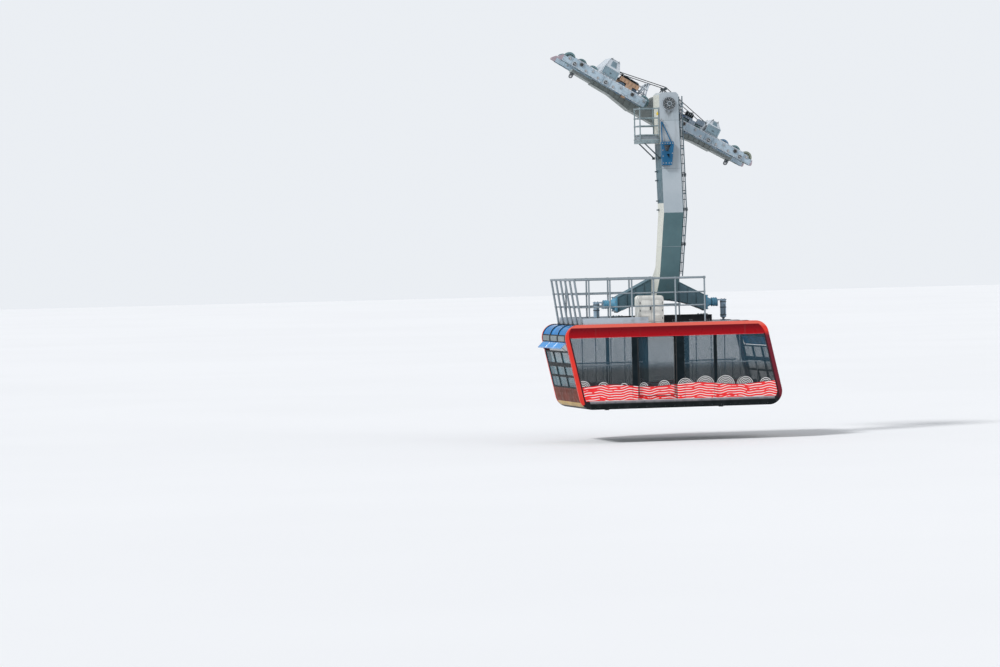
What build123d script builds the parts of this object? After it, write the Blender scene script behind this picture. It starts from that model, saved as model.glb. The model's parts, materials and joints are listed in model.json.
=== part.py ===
from build123d import *
import os
from math import cos, radians, sin, sqrt, tan

# Reversible aerial tram car: a roped carriage, its hanger and a large cabin.
# Millimetres. +X points down the line, +Z up, -Y is the hanger's side.
# The origin lies midway between the two track ropes, on their centreline, below the hanger pin.

# Clearances
seat_gap = 0.3
running_gap = 0.5
slide_gap = 8.0
cut_past = 10.0

# Track ropes and the two halves of the carriage
rope_radius = 27.0
rope_offset = 500.0
upper_slope = 30.7
lower_slope = 28.1
HALVES = {"upper": (-1, upper_slope), "lower": (1, lower_slope)}
SIDES = {"near": -1, "far": 1}

# Running wheels
groove_radius = 185.0
flange_radius = 205.0
wheel_width = 90.0
hub_radius = 70.0
hub_width = 104.0
rim_inner_radius = 150.0
web_width = 30.0
axle_radius = 30.0
groove_seat = 22.0
groove_mouth = 72.0
wheel_pitch = 450.0
middle_gap = 1100.0
truck_pin_run = 2025.0
axles_per_half = 6
bogie_axles = 2
axle_level = groove_radius + rope_radius

# Trucks, end bogies and their pins
plate_level = (20.0, 320.0)
plate_round = 70.0
plate_overhang = 110.0
plate_reach = 95.0
truck_plate = 24.0
truck_half_gauge = 118.0
bogie_plate = 16.0
bogie_half_gauge = 92.0
bogie_eye_radius = 78.0
saddle_rise = 60.0
saddle_radius = 110.0
pin_radius = 30.0
sleeve_radius = 38.0
pin_level = 110.0
boss_radius = 88.0
boss_height = 14.0
pin_overhang = 12.0
tie_radius = 28.0
tie_offset = 300.0

# Main beam
beam_width = 400.0
beam_top_level = 175.0
shoulder_run = 420.0
belly_run = 775.0
belly_level = -240.0
waist_run = 1625.0
waist_level = -110.0
beam_end = 2350.0
bar_end = 3130.0
bar_levels = (-90.0, 10.0)
head_radius = 310.0

# Hanger pin
pivot_height = 460.0
pivot_radius = 100.0
pivot_collar_radius = 150.0
pivot_collar = 50.0
far_nut_radius = 140.0
far_nut = 60.0

# Brake housings, rope brakes and their cylinders
HOUSING_LENGTHS = {"upper": 560.0, "lower": 470.0}
HOUSING_HEIGHTS = {"upper": 650.0, "lower": 510.0}
housing_flank = 290.0
housing_ridge_half = 350.0
housing_end_slope = 110.0
housing_wall = 10.0
BRAKE_BLOCKS = {"upper": ((925.0, 1645.0, 570.0),),
                "lower": ((945.0, 1225.0, 500.0), (1425.0, 1665.0, 600.0))}
brake_base = (430.0, 465.0)
brake_leg_run = 1250.0
brake_leg_length = 120.0
brake_leg_width = 34.0
brake_skirt_length = 240.0
brake_jaw_level = -20.0
CYLINDERS = {"upper": (975.0, 1645.0, 50.0), "lower": (945.0, 1225.0, 90.0)}
cylinder_cap = 30.0
cylinder_cap_share = 0.86

# Rope scrapers and haul rope lugs
scraper_clearance = 10.0
SCRAPER_LENGTHS = {"upper": 150.0, "lower": 60.0}
scraper_levels = (30.0, 215.0)
scraper_nose = 70.0
scraper_brow = 0.3
scraper_groove = 46.0
lug_run = 3050.0
lug_level = -215.0
lug_radius = 62.0
lug_width = 90.0
lug_bore = 25.0

# Hanger column, as depths below the pin
column_width = 660.0
column_depth = 800.0
column_top = 380.0
column_chamfer = 85.0
column_near_face = 1750.0
straight_depth = 550.0
kink_depth = 3630.0
kink_near_face = 2050.0
elbow_depth = 5850.0
elbow_near_face = 1300.0
kink_thickness = 760.0
kink_drop = 60.0
elbow_thickness = 520.0
elbow_rise = 420.0
heel_tuck = 480.0
flare_depth = 5600.0
yoke_lap = 30.0
throat_radius = 260.0
cover_radius = 215.0
cover_thickness = 45.0
cap_radius = 150.0
cap_thickness = 30.0

# Yoke, as depths below the pin
yoke_width = 460.0
yoke_crown = 5830.0
yoke_crown_half = 360.0
yoke_reach = 1540.0
yoke_tip_levels = (6430.0, 6880.0)
yoke_foot = 130.0
yoke_throat = 6560.0
flange_plate = 60.0
flange_margin = 40.0
cone_length = 190.0
cone_radii = (190.0, 105.0)
buffer_radius = 140.0
buffer_length = 190.0
damper_post = 150.0
damper_plate = 30.0
damper_bracket_rise = (40.0, 90.0)
damper_plate_drop = 150.0
damper_depths = (6610.0, 7180.0)
damper_radius = 100.0
damper_rod = 36.0
damper_pad = 180.0
damper_reach = 2210.0

# Service platform beside the hanger head, as depths below the pin
platform_depth = 1180.0
platform_reach = 1020.0
platform_plate = 130.0
platform_width = 800.0
platform_top_rail = 150.0
platform_rail_depths = (150.0, 470.0, 730.0, 1030.0)
platform_tube = 21.0
platform_strut_inset = 60.0
strut_pad = 80.0
strut_depth = 1800.0

# Lifting bracket on the hanger's front, drawn in shares of its half width and its height
bracket_top_depth = 1290.0
bracket_height = 770.0
bracket_width = 410.0
bracket_offset = -135.0
bracket_thickness = 150.0
bracket_strut = 18.0
bracket_stay_foot = (0.8, 40.0)
bracket_apex = (-0.7, 0.95)
BRACKET_PLATE = ((-1.0, 0.0), (1.0, 0.0), (1.0, -0.15), (0.55, -1.0), (-1.0, -1.0))
BRACKET_WINDOWS = (((-0.72, -0.12), (0.62, -0.12), (0.1, -0.42), (-0.4, -0.42)),
                   ((-0.3, -0.52), (0.3, -0.52), (0.2, -0.74)))

# Ladder down the hanger
ladder_standoff = 150.0
ladder_width = 400.0
stile_radius = 20.0
rung_radius = 12.0
rung_pitch = 300.0
ladder_inset = 110.0
ladder_top = -250.0
ladder_foot = 5750.0
ladder_clip = (30.0, 50.0)
LADDER_CLIPS = (100.0, 1500.0, 3000.0, 4400.0)

# Cabin body
cabin_top_depth = 7290.0
cabin_height = 2830.0
cabin_length = 7020.0
cabin_width = 3500.0
end_slant = 12.5
corner_radius = 450.0
side_wall = 80.0
end_wall = 60.0
end_run = 720.0
fascia_depth = 430.0
frame_width = 170.0
sill_corner_share = 0.35
sill_height = 270.0
roof_thickness = 120.0
floor_thickness = 90.0
glass_thickness = 18.0
glass_recess = 8.0

# Doors and window posts along the near side; the far side is turned half round
door_left = -1260.0
door_right = 70.0
door_overlap = 30.0
door_thickness = 40.0
door_frame = 75.0
door_travel = 1240.0
door_head = 60.0
door_corner = 60.0
door_floor_gap = 12.0
door_foot_share = 1.6
POSTS = ((-1450.0, -1260.0), (70.0, 340.0), (1370.0, 1470.0))
track_width = 64.0
track_height = 70.0
track_lip = 10.0
track_slot = 16.0
track_hollow = 44.0
track_clearance = 14.0
trolley_length = 120.0
trolley_inset = 220.0
trolley_neck = 10.0
trolley_head = (36.0, 24.0)
post_recess = (4.0, 10.0)

# End walls: two rows as depths below the cabin's top edge, then the panel and the bumper as heights
# over its bottom edge, and between them three rows of windows as shares of the depth that is left
mullion = 70.0
end_header = 90.0
eaves_row = (0.0, 335.0)
eaves_tie = 60.0
vent_row = (575.0, 875.0)
window_row_gap = 40.0
WINDOW_ROWS = {"upper": (0.0, 0.315), "middle": (0.413, 0.668), "lower": (0.711, 1.0)}
panel_heights = (240.0, 705.0)
bumper_height = 90.0
flap_thickness = 20.0
flap_hinge_radius = 12.0
flap_margin = 10.0
flap_opening = 34.0

# Rails and poles inside
handrail_radius = 20.0
handrail_height = 1190.0
handrail_inset = 170.0
handrail_reach = 3050.0
handrail_door_gap = 120.0
handrail_post_gap = 180.0
handrail_leg_inset = 120.0
handrail_leg_radius = 16.0
pole_radius = 20.0
pole_row = 950.0
POLES = (-2500.0, -1500.0, 1500.0, 2500.0)

# Underframe
bearer_width = 120.0
bearer_rows = (-1250.0, -420.0, 420.0, 1250.0)
bearer_rise = 20.0
cross_members = 5
cross_depth = 60.0
foot_radius = 70.0
foot_height = 60.0
FOOT_RUNS = (-2230.0, 1710.0)

# Balcony on the roof
deck_start = -3090.0
deck_end = -1150.0
toe_end = -850.0
well_start = -2360.0
well_half_width = 660.0
deck_gap = 30.0
deck_plate = 55.0
deck_margin = 60.0
deck_bearers = 6
deck_bearer_inset = 60.0
deck_bearer_width = 60.0
toe_height = 210.0
toe_plate = 12.0
rail_heights = (570.0, 1010.0, 1490.0)
rail_radius = 36.0
mid_rail_radius = 24.0
post_radius = 28.0
end_post_radius = 36.0
post_clearance = 6.0
rail_end = 1150.0
rail_lean = 225.0
post_pad = (72.0, 12.0)
SIDE_RAIL_POSTS = (-2860.0, -2140.0, -1390.0, -640.0, 110.0, 1116.0)
end_post_count = 6

# Roof carrier under the yoke and the equipment cabinet
carrier_height = 210.0
carrier_width = 180.0
carrier_row = 520.0
carrier_reach = 1640.0
cabinet_start = -1120.0
cabinet_length = 860.0
cabinet_height = 915.0
cabinet_depth = 540.0
cabinet_near_face = 1480.0
cabinet_round = 110.0

cabin_top = pivot_height - cabin_top_depth
cabin_bottom = cabin_top - cabin_height
cabin_middle = cabin_top - cabin_height / 2
sill_top = cabin_bottom + sill_height
lean = tan(radians(end_slant))
wall_inner = cabin_width / 2 - side_wall

# How far the carriage lies uphill, to hang square below its pin on the sloping ropes
uphill_shift = pivot_height * sin(radians((upper_slope + lower_slope) / 2))


def polygon(*points):
    return make_face(Polyline(*points, close=True))


def block(x, y, z):
    """A box from its low and high value along each axis."""
    size = [high - low for low, high in (x, y, z)]
    centre = [(low + high) / 2 for low, high in (x, y, z)]
    return Pos(*centre) * Box(*size)


def prism_y(sketch, low, high):
    """A drawing in X and Z, carried from one Y to another."""
    return extrude(Plane.XZ.offset(-high) * sketch, amount=high - low)


def prism_x(sketch, low, high):
    """A drawing in Y and Z, carried from one X to another."""
    return extrude(Plane.YZ.offset(low) * sketch, amount=high - low)


def rod_y(radius, x, z, low, high):
    return prism_y(Pos(x, z) * Circle(radius), low, high)


def tube_between(start, end, radius):
    """A round bar from one point to another."""
    start, end = Vector(start), Vector(end)
    plane = Plane(origin=start, z_dir=end - start)
    return extrude(plane * Circle(radius), amount=(end - start).length)


def mirrored(low, high, side):
    """A span given for the far side, placed on the near (-1) or far (+1) side."""
    return (low, high) if side > 0 else (-high, -low)


def turned(shape):
    """The same piece turned half round about the vertical, for the far side of the cabin."""
    return Rot(0, 0, 180) * shape


def fuse(pieces):
    whole = pieces[0]
    for piece in pieces[1:]:
        whole = whole + piece
    return whole


def along_rope(half, sketch):
    """A drawing in run along the rope and level above it, laid on one half of the line."""
    return Rot(0, 0, -HALVES[half][1]) * sketch


def rope_place(half, run):
    """Where a run, counted from the carriage's middle, falls along the rope from the origin."""
    return HALVES[half][0] * run - uphill_shift


def rope_point(half, run, level):
    place, slope = rope_place(half, run), radians(HALVES[half][1])
    return place * cos(slope) + level * sin(slope), level * cos(slope) - place * sin(slope)


def rope_strip(half, runs, levels):
    """A rectangle between two runs and two levels, in the drawing of one half."""
    start, end = [rope_place(half, run) for run in runs]
    low, high = levels
    return polygon((start, low), (end, low), (end, high), (start, high))


def rope_disc(half, run, level, radius):
    return Pos(rope_place(half, run), level) * Circle(radius)


def axle_runs():
    """The runs of one half's axles from its outer end: half of them each side of the truck's pin."""
    steps = [middle_gap / 2 + number * wheel_pitch for number in range(axles_per_half // 2)]
    return [truck_pin_run + step for step in reversed(steps)] + [truck_pin_run - step for step in steps]


def gap_run(number):
    """The run of the gap between one axle and the next, counted from the outer end."""
    return (axle_runs()[number] + axle_runs()[number + 1]) / 2


bogie_pin_run = gap_run(0)
scraper_run = axle_runs()[0] + flange_radius + scraper_clearance


def wheelset(half, run, half_length):
    """An axle with its two grooved wheels, turned about the axle's line."""
    outline = [(0, 0), (axle_radius, 0)]
    section = [(-hub_width / 2, axle_radius), (-hub_width / 2, hub_radius), (-web_width / 2, hub_radius),
               (-web_width / 2, rim_inner_radius), (-wheel_width / 2, rim_inner_radius),
               (-wheel_width / 2, flange_radius), (-groove_mouth / 2, flange_radius),
               (-groove_seat / 2, groove_radius)]
    section += [(-place, radius) for place, radius in reversed(section)]
    outline += [(radius, rope_offset + place) for place, radius in section]
    outline += [(axle_radius, half_length), (0, half_length)]
    turned_half = revolve(polygon(*outline), Axis.Y)
    x, z = rope_point(half, run, axle_level)
    return Pos(x, 0, z) * (turned_half + mirror(turned_half, Plane.XZ))


def truck_frame(half, side):
    """Two long side plates over one rope, tied between the wheels and bored for four axles."""
    start = axle_runs()[-1] - plate_overhang
    end = bogie_pin_run + plate_reach
    plate = fillet(rope_strip(half, (start, end), plate_level).vertices(), plate_round)
    pins = (truck_pin_run, bogie_pin_run)
    holes = [rope_disc(half, run, axle_level, axle_radius + running_gap)
             for run in axle_runs()[bogie_axles:]]
    holes += [rope_disc(half, run, pin_level, pin_radius + seat_gap) for run in pins]
    holes += [rope_disc(half, axle_runs()[bogie_axles - 1], axle_level, axle_radius + slide_gap)]
    for hole in holes:
        plate = plate - hole
    pieces = []
    for edge in (-1, 1):
        middle = rope_offset + edge * truck_half_gauge
        span = mirrored(middle - truck_plate / 2, middle + truck_plate / 2, side)
        pieces.append(prism_y(along_rope(half, plate), *span))
    inner = rope_offset - truck_half_gauge + truck_plate / 2
    outer = rope_offset + truck_half_gauge - truck_plate / 2
    ring = rope_disc(half, truck_pin_run, pin_level, sleeve_radius)
    ties = [ring - rope_disc(half, truck_pin_run, pin_level, pin_radius + seat_gap)]
    for run in (gap_run(bogie_axles - 1), truck_pin_run - tie_offset, truck_pin_run + tie_offset):
        ties.append(rope_disc(half, run, pin_level, tie_radius))
    for tie in ties:
        pieces.append(prism_y(along_rope(half, tie), *mirrored(inner, outer, side)))
    face = rope_offset + truck_half_gauge + truck_plate / 2
    for run in pins:
        boss = rope_disc(half, run, pin_level, boss_radius)
        boss = boss - rope_disc(half, run, pin_level, pin_radius + seat_gap)
        pieces.append(prism_y(along_rope(half, boss), *mirrored(face, face + boss_height, side)))
    return fuse(pieces)


def bogie_frame(half, side):
    """Two cheeks that carry the outer pair of wheels, rocking on one pin."""
    runs = axle_runs()[:bogie_axles]
    cheek = rope_strip(half, runs, (plate_level[0], axle_level + bogie_eye_radius))
    for run in runs:
        cheek = cheek + rope_disc(half, run, axle_level, bogie_eye_radius)
    nose = rope_strip(half, (runs[0], scraper_run), (plate_level[0], axle_level))
    saddle = rope_disc(half, bogie_pin_run, axle_level + bogie_eye_radius + saddle_rise, saddle_radius)
    cheek = cheek + nose - saddle
    for run in runs:
        cheek = cheek - rope_disc(half, run, axle_level, axle_radius + running_gap)
    cheek = cheek - rope_disc(half, bogie_pin_run, pin_level, pin_radius + seat_gap)
    pieces = []
    for edge in (-1, 1):
        middle = rope_offset + edge * bogie_half_gauge
        span = mirrored(middle - bogie_plate / 2, middle + bogie_plate / 2, side)
        pieces.append(prism_y(along_rope(half, cheek), *span))
    ring = rope_disc(half, bogie_pin_run, pin_level, sleeve_radius)
    ring = ring - rope_disc(half, bogie_pin_run, pin_level, pin_radius + seat_gap)
    reach = bogie_half_gauge - bogie_plate / 2
    span = mirrored(rope_offset - reach, rope_offset + reach, side)
    pieces.append(prism_y(along_rope(half, ring), *span))
    return fuse(pieces)


def rocker_pins():
    """A long pin through the main beam at each truck and a short one at each end bogie."""
    end = rope_offset + truck_half_gauge + truck_plate / 2 + boss_height + pin_overhang
    start = rope_offset - truck_half_gauge - truck_plate / 2 - pin_overhang
    pins = []
    for half in HALVES:
        x, z = rope_point(half, truck_pin_run, pin_level)
        pins.append(rod_y(pin_radius, x, z, -end, end))
        x, z = rope_point(half, bogie_pin_run, pin_level)
        for side in SIDES.values():
            pins.append(rod_y(pin_radius, x, z, *mirrored(start, end, side)))
    return pins


def beam_line(half):
    """One half of the beam's outline, from the hanger's head out along the bar and back to the belly."""
    corners = ((shoulder_run, beam_top_level), (beam_end, beam_top_level), (beam_end, bar_levels[1]),
               (bar_end, bar_levels[1]), (bar_end, bar_levels[0]), (beam_end, bar_levels[0]),
               (beam_end, waist_level), (waist_run, waist_level), (belly_run, belly_level))
    return [rope_point(half, run, level) for run, level in corners]


def carriage_beam():
    """The central box beam between the ropes, deepest below the hanger pin, with a draw bar at each end."""
    head = ((head_radius, pivot_height), (-head_radius, pivot_height))
    shape = polygon(*head, *beam_line("upper"), *reversed(beam_line("lower")))
    shape = shape + Pos(0, pivot_height) * Circle(head_radius)
    shape = shape - Pos(0, pivot_height) * Circle(pivot_radius + seat_gap)
    for half in HALVES:
        shape = shape - along_rope(half, rope_disc(half, truck_pin_run, pin_level, pin_radius + seat_gap))
    return prism_y(shape, -beam_width / 2, beam_width / 2)


def hanger_pin():
    """The fixed pin that the hanger swings on, with a collar each side of the hanger's head."""
    inner_face = column_near_face - column_depth
    pin = rod_y(pivot_radius, 0, pivot_height, -column_near_face, beam_width / 2 + far_nut)
    collar_y = -(inner_face - slide_gap)
    collar = rod_y(pivot_collar_radius, 0, pivot_height, collar_y, collar_y + pivot_collar)
    nut_y = beam_width / 2 + seat_gap
    nut = prism_y(Pos(0, pivot_height) * RegularPolygon(far_nut_radius, 6), nut_y, nut_y + far_nut)
    return pin + collar + nut


def brake_housing(half):
    """A folded cover over the brake springs, open below, with bevelled flanks and sloping ends."""
    base = plate_level[1] + seat_gap
    top = base + HOUSING_HEIGHTS[half]
    middle = rope_place(half, truck_pin_run)

    def shell(inset):
        side = rope_offset + truck_half_gauge + truck_plate / 2 - inset
        eaves = base + housing_flank
        flank = polygon((-side, base), (-side, eaves), (-housing_ridge_half, top - inset),
                        (housing_ridge_half, top - inset), (side, eaves), (side, base))
        reach = HOUSING_LENGTHS[half] / 2 - inset
        ridge = reach - housing_end_slope
        profile = polygon((middle - reach, base), (middle + reach, base), (middle + reach, eaves - inset),
                          (middle + ridge, top), (middle - ridge, top), (middle - reach, eaves - inset))
        return prism_x(flank, middle - reach, middle + reach) & prism_y(profile, -side, side)

    return Rot(0, HALVES[half][1], 0) * (shell(0) - shell(housing_wall))


def rope_brake(half, side):
    """A caliper that straddles the wheels of one rope, its jaws reaching down beside the rope."""
    blocks = BRAKE_BLOCKS[half]
    outline = rope_strip(half, (blocks[0][0], blocks[-1][1]), brake_base)
    for start, end, top in blocks:
        outline = outline + rope_strip(half, (start, end), (brake_base[0], top))
    reach = truck_half_gauge + truck_plate / 2
    pieces = [prism_y(along_rope(half, outline), *mirrored(rope_offset - reach, rope_offset + reach, side))]
    skirt_runs = (brake_leg_run - brake_skirt_length / 2, brake_leg_run + brake_skirt_length / 2)
    skirt = along_rope(half, rope_strip(half, skirt_runs, (plate_level[1] + seat_gap, brake_base[0])))
    leg_runs = (brake_leg_run - brake_leg_length / 2, brake_leg_run + brake_leg_length / 2)
    leg = along_rope(half, rope_strip(half, leg_runs, (brake_jaw_level, brake_base[0])))
    for edge in (-1, 1):
        plate = rope_offset + edge * truck_half_gauge
        pieces.append(prism_y(skirt, *mirrored(plate - truck_plate / 2, plate + truck_plate / 2, side)))
        jaw = rope_offset + edge * (truck_half_gauge - truck_plate / 2 - slide_gap - brake_leg_width / 2)
        pieces.append(prism_y(leg, *mirrored(jaw - brake_leg_width / 2, jaw + brake_leg_width / 2, side)))
    return fuse(pieces)


def brake_cylinder(half, side):
    """The hydraulic cylinder along the top of a rope brake, with a narrower cap at each end."""
    start, end, radius = CYLINDERS[half]
    level = BRAKE_BLOCKS[half][0][2] + seat_gap + radius
    y = side * rope_offset

    def bar(low_run, high_run, bar_radius):
        low, high = rope_point(half, low_run, level), rope_point(half, high_run, level)
        return tube_between((low[0], y, low[1]), (high[0], y, high[1]), bar_radius)

    caps = bar(start, end, radius * cylinder_cap_share)
    return caps + bar(start + cylinder_cap, end - cylinder_cap, radius)


def rope_scraper(half, side):
    """A wedge at the end of the line of wheels that pushes ice off one rope."""
    start = scraper_run + seat_gap
    length = SCRAPER_LENGTHS[half]
    low, high = scraper_levels
    corners = ((start, low), (start + length, low), (start + length, low + scraper_nose),
               (start + length * scraper_brow, high), (start, high))
    wedge = polygon(*[(rope_place(half, run), level) for run, level in corners])
    reach = bogie_half_gauge + bogie_plate / 2
    piece = prism_y(along_rope(half, wedge), *mirrored(rope_offset - reach, rope_offset + reach, side))
    ends = [rope_point(half, run, 0) for run in (start - cut_past, start + length + cut_past)]
    (start_x, start_z), (end_x, end_z) = ends
    y = side * rope_offset
    return piece - tube_between((start_x, y, start_z), (end_x, y, end_z), scraper_groove)


def haul_rope_lug(half):
    """A plate under the draw bar with the eye for the haul rope's socket pin."""
    runs = (lug_run - lug_radius, lug_run + lug_radius)
    shape = rope_strip(half, runs, (lug_level, bar_levels[0] - seat_gap))
    shape = shape + rope_disc(half, lug_run, lug_level, lug_radius)
    shape = shape - rope_disc(half, lug_run, lug_level, lug_bore)
    return prism_y(along_rope(half, shape), -lug_width / 2, lug_width / 2)


def column_near(depth):
    """Distance of the column's near face from the middle plane at a depth below the pin."""
    if depth < straight_depth:
        return column_near_face
    if depth < kink_depth:
        share = (depth - straight_depth) / (kink_depth - straight_depth)
        return column_near_face + share * (kink_near_face - column_near_face)
    share = (depth - kink_depth) / (elbow_depth - kink_depth)
    return kink_near_face + share * (elbow_near_face - kink_near_face)


def at_points(sketch, points):
    """The corners of a drawing that lie on the given points."""
    return [corner for corner in sketch.vertices()
            if any(abs(corner.X - x) + abs(corner.Y - y) < seat_gap for x, y in points)]


def hanger_column():
    """The cranked box column: upright at the head, out round the ropes, then in to the yoke."""
    def at(distance, depth):
        return (-distance, pivot_height - depth)

    yoke_face = yoke_width / 2 + seat_gap
    foot = yoke_throat - yoke_lap
    near_elbow = at(elbow_near_face, elbow_depth)
    far_elbow = at(elbow_near_face - elbow_thickness, elbow_depth - elbow_rise)
    head_far = column_near_face - column_depth
    near_side = [at(column_near_face, -column_top), at(column_near_face, straight_depth),
                 at(kink_near_face, kink_depth), near_elbow, at(elbow_near_face - heel_tuck, foot),
                 at(yoke_face, foot)]
    far_side = [at(yoke_face, yoke_crown + yoke_lap), far_elbow,
                at(kink_near_face - kink_thickness, kink_depth + kink_drop), at(head_far, straight_depth),
                at(head_far, -column_top)]
    side_view = polygon(*near_side, *far_side)
    side_view = fillet(at_points(side_view, (near_elbow, far_elbow)), throat_radius)
    half, flare = column_width / 2, yoke_crown_half
    top, waist = pivot_height + column_top, pivot_height - flare_depth
    outline = [(half - column_chamfer, top), (half, top - column_chamfer), (half, waist),
               (flare, pivot_height - yoke_throat)]
    front_view = polygon(*outline, *[(-x, z) for x, z in reversed(outline)])
    reach = max(half, flare)
    column = prism_x(side_view, -reach, reach) & prism_y(front_view, -kink_near_face - cut_past, 0)
    bore = rod_y(pivot_radius + running_gap, 0, pivot_height, -column_near_face - cut_past, 0)
    return column - bore


def bearing_cover():
    """The stepped round cover over the hanger bearing."""
    face = -column_near_face - seat_gap
    plate = rod_y(cover_radius, 0, pivot_height, face - cover_thickness, face)
    cap = rod_y(cap_radius, 0, pivot_height, face - cover_thickness - cap_thickness, face - cover_thickness)
    return plate + cap


def yoke():
    """The arched beam that spreads the hanger's load to two feet along the cabin."""
    def at(x, depth):
        return (x, pivot_height - depth)

    tip_top, tip_bottom = yoke_tip_levels
    foot_depth = cabin_top_depth - carrier_height - seat_gap
    foot_in = yoke_reach - yoke_foot
    top_line = [at(-yoke_reach, tip_top), at(-yoke_crown_half, yoke_crown), at(yoke_crown_half, yoke_crown),
                at(yoke_reach, tip_top)]
    body = polygon(*top_line, at(yoke_reach, foot_depth), at(foot_in, foot_depth), at(foot_in, tip_bottom),
                   at(-foot_in, tip_bottom), at(-foot_in, foot_depth), at(-yoke_reach, foot_depth))
    rise = tip_bottom - yoke_throat
    arch_radius = (foot_in ** 2 + rise ** 2) / (2 * rise)
    arch = Pos(*at(0, yoke_throat + arch_radius)) * Circle(arch_radius)
    body = body - arch
    return prism_y(body, -yoke_width / 2, yoke_width / 2)


def yoke_buffers():
    """Flange, cone and rubber drum at each end of the yoke."""
    middle = pivot_height - (yoke_tip_levels[0] + yoke_tip_levels[1]) / 2
    height = yoke_tip_levels[1] - yoke_tip_levels[0] + flange_margin
    start = yoke_reach + seat_gap
    half = yoke_width / 2 + flange_margin
    flange = block((start, start + flange_plate), (-half, half), (middle - height / 2, middle + height / 2))
    cone_start = start + flange_plate
    base, tip = cone_radii
    cone = Pos(cone_start + cone_length / 2, 0, middle) * Rot(0, 90, 0) * Cone(base, tip, cone_length)
    drum_start = cone_start + cone_length
    drum = prism_x(Pos(0, middle) * Circle(buffer_radius), drum_start, drum_start + buffer_length)
    piece = flange + cone + drum
    return [piece, mirror(piece, Plane.YZ)]


def roof_dampers():
    """The upright damper at each end of the yoke, from its bracket down to the roof."""
    middle = pivot_height - (yoke_tip_levels[0] + yoke_tip_levels[1]) / 2
    start = yoke_reach + flange_plate + cone_length + buffer_length + 2 * seat_gap
    half = damper_post / 2
    low, high = [middle + rise for rise in damper_bracket_rise]
    body_top, body_foot = [pivot_height - depth for depth in damper_depths]
    pad_foot = cabin_top + seat_gap
    pad_half = damper_pad / 2
    piece = fuse([
        block((start, damper_reach + damper_radius), (-half, half), (low, high)),
        block((start, start + damper_plate), (-half, half), (middle - damper_plate_drop, high)),
        tube_between((damper_reach, 0, body_foot), (damper_reach, 0, body_top), damper_radius),
        tube_between((damper_reach, 0, pad_foot), (damper_reach, 0, body_top), damper_rod),
        block((damper_reach - pad_half, damper_reach + pad_half), (-pad_half, pad_half),
              (pad_foot, pad_foot + damper_plate))])
    return [piece, mirror(piece, Plane.YZ)]


def service_platform():
    """The small railed platform on the uphill side of the hanger's head."""
    near = -column_near_face
    far = near + platform_width
    start = -column_width / 2 - seat_gap
    floor_z = pivot_height - platform_depth
    pieces = [block((-platform_reach, start), (near, far), (floor_z - platform_plate, floor_z))]
    tube = platform_tube
    corner_x = -platform_reach + tube
    rows = (near + strut_pad / 2, far - strut_pad / 2)
    top = pivot_height - platform_top_rail
    strut_x = -platform_reach + platform_strut_inset
    strut_z = pivot_height - strut_depth
    pad = strut_pad / 2
    for y in rows:
        for x in (corner_x, start - tube):
            pieces.append(tube_between((x, y, floor_z - tube), (x, y, top), tube))
        for depth in platform_rail_depths:
            z = pivot_height - depth
            pieces.append(tube_between((corner_x, y, z), (start, y, z), tube))
        pad_y = (y - pad, y + pad)
        pieces.append(tube_between((strut_x, y, floor_z - tube), (start - tube, y, strut_z), tube))
        pieces.append(block((start - strut_pad, start), pad_y, (strut_z - pad, strut_z + pad)))
    for depth in platform_rail_depths:
        z = pivot_height - depth
        pieces.append(tube_between((corner_x, rows[0], z), (corner_x, rows[1], z), tube))
    return fuse(pieces)


def front_plane(depth):
    """The plane of the column's sloping front face, with its origin at a depth below the pin."""
    run = kink_depth - straight_depth
    out = kink_near_face - column_near_face
    length = sqrt(run ** 2 + out ** 2)
    return Plane(origin=(0, -column_near(depth), pivot_height - depth), x_dir=(1, 0, 0),
                 z_dir=(0, -run / length, out / length))


def lift_bracket():
    """The lifting bracket on the column's front: a tapered plate with windows and two stays."""
    half = bracket_width / 2
    plane = front_plane(bracket_top_depth).offset(seat_gap)

    def at(across, up):
        return (bracket_offset + across * half, up * bracket_height)

    plate = polygon(*[at(*corner) for corner in BRACKET_PLATE])
    for window in BRACKET_WINDOWS:
        plate = plate - polygon(*[at(*corner) for corner in window])
    pieces = [extrude(plane * plate, amount=bracket_thickness)]
    end = plane.from_local_coords((*at(*bracket_apex), bracket_strut))
    foot_across, foot_drop = bracket_stay_foot
    for across in (-foot_across, foot_across):
        x, top = at(across, 0)
        start = plane.from_local_coords((x, top - foot_drop, bracket_thickness / 2))
        pieces.append(tube_between(start, end, bracket_strut))
    return fuse(pieces)


def hanger_ladder():
    """The ladder down the hanger's downhill side, bent with the column."""
    x = column_width / 2 + ladder_standoff
    half = ladder_width / 2
    depths = (ladder_top, straight_depth, kink_depth, ladder_foot)

    def centre(depth):
        return -column_near(depth) + ladder_inset + half

    pieces = []
    for offset in (-half, half):
        for start, end in zip(depths, depths[1:]):
            pieces.append(tube_between((x, centre(start) + offset, pivot_height - start),
                                       (x, centre(end) + offset, pivot_height - end), stile_radius))
        for depth in depths[1:3]:
            pieces.append(Pos(x, centre(depth) + offset, pivot_height - depth) * Sphere(stile_radius))
    for number in range(int((ladder_foot - ladder_top) / rung_pitch)):
        depth = ladder_top + rung_pitch * (number + 0.5)
        y, z = centre(depth), pivot_height - depth
        pieces.append(tube_between((x, y - half, z), (x, y + half, z), rung_radius))
    face = column_width / 2 + seat_gap
    clip_y, clip_z = [size / 2 for size in ladder_clip]
    for depth in LADDER_CLIPS:
        z = pivot_height - depth
        for y in (centre(depth) - half, centre(depth) + half):
            pieces.append(block((face, x), (y - clip_y, y + clip_y), (z - clip_z, z + clip_z)))
    return fuse(pieces)


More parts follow.
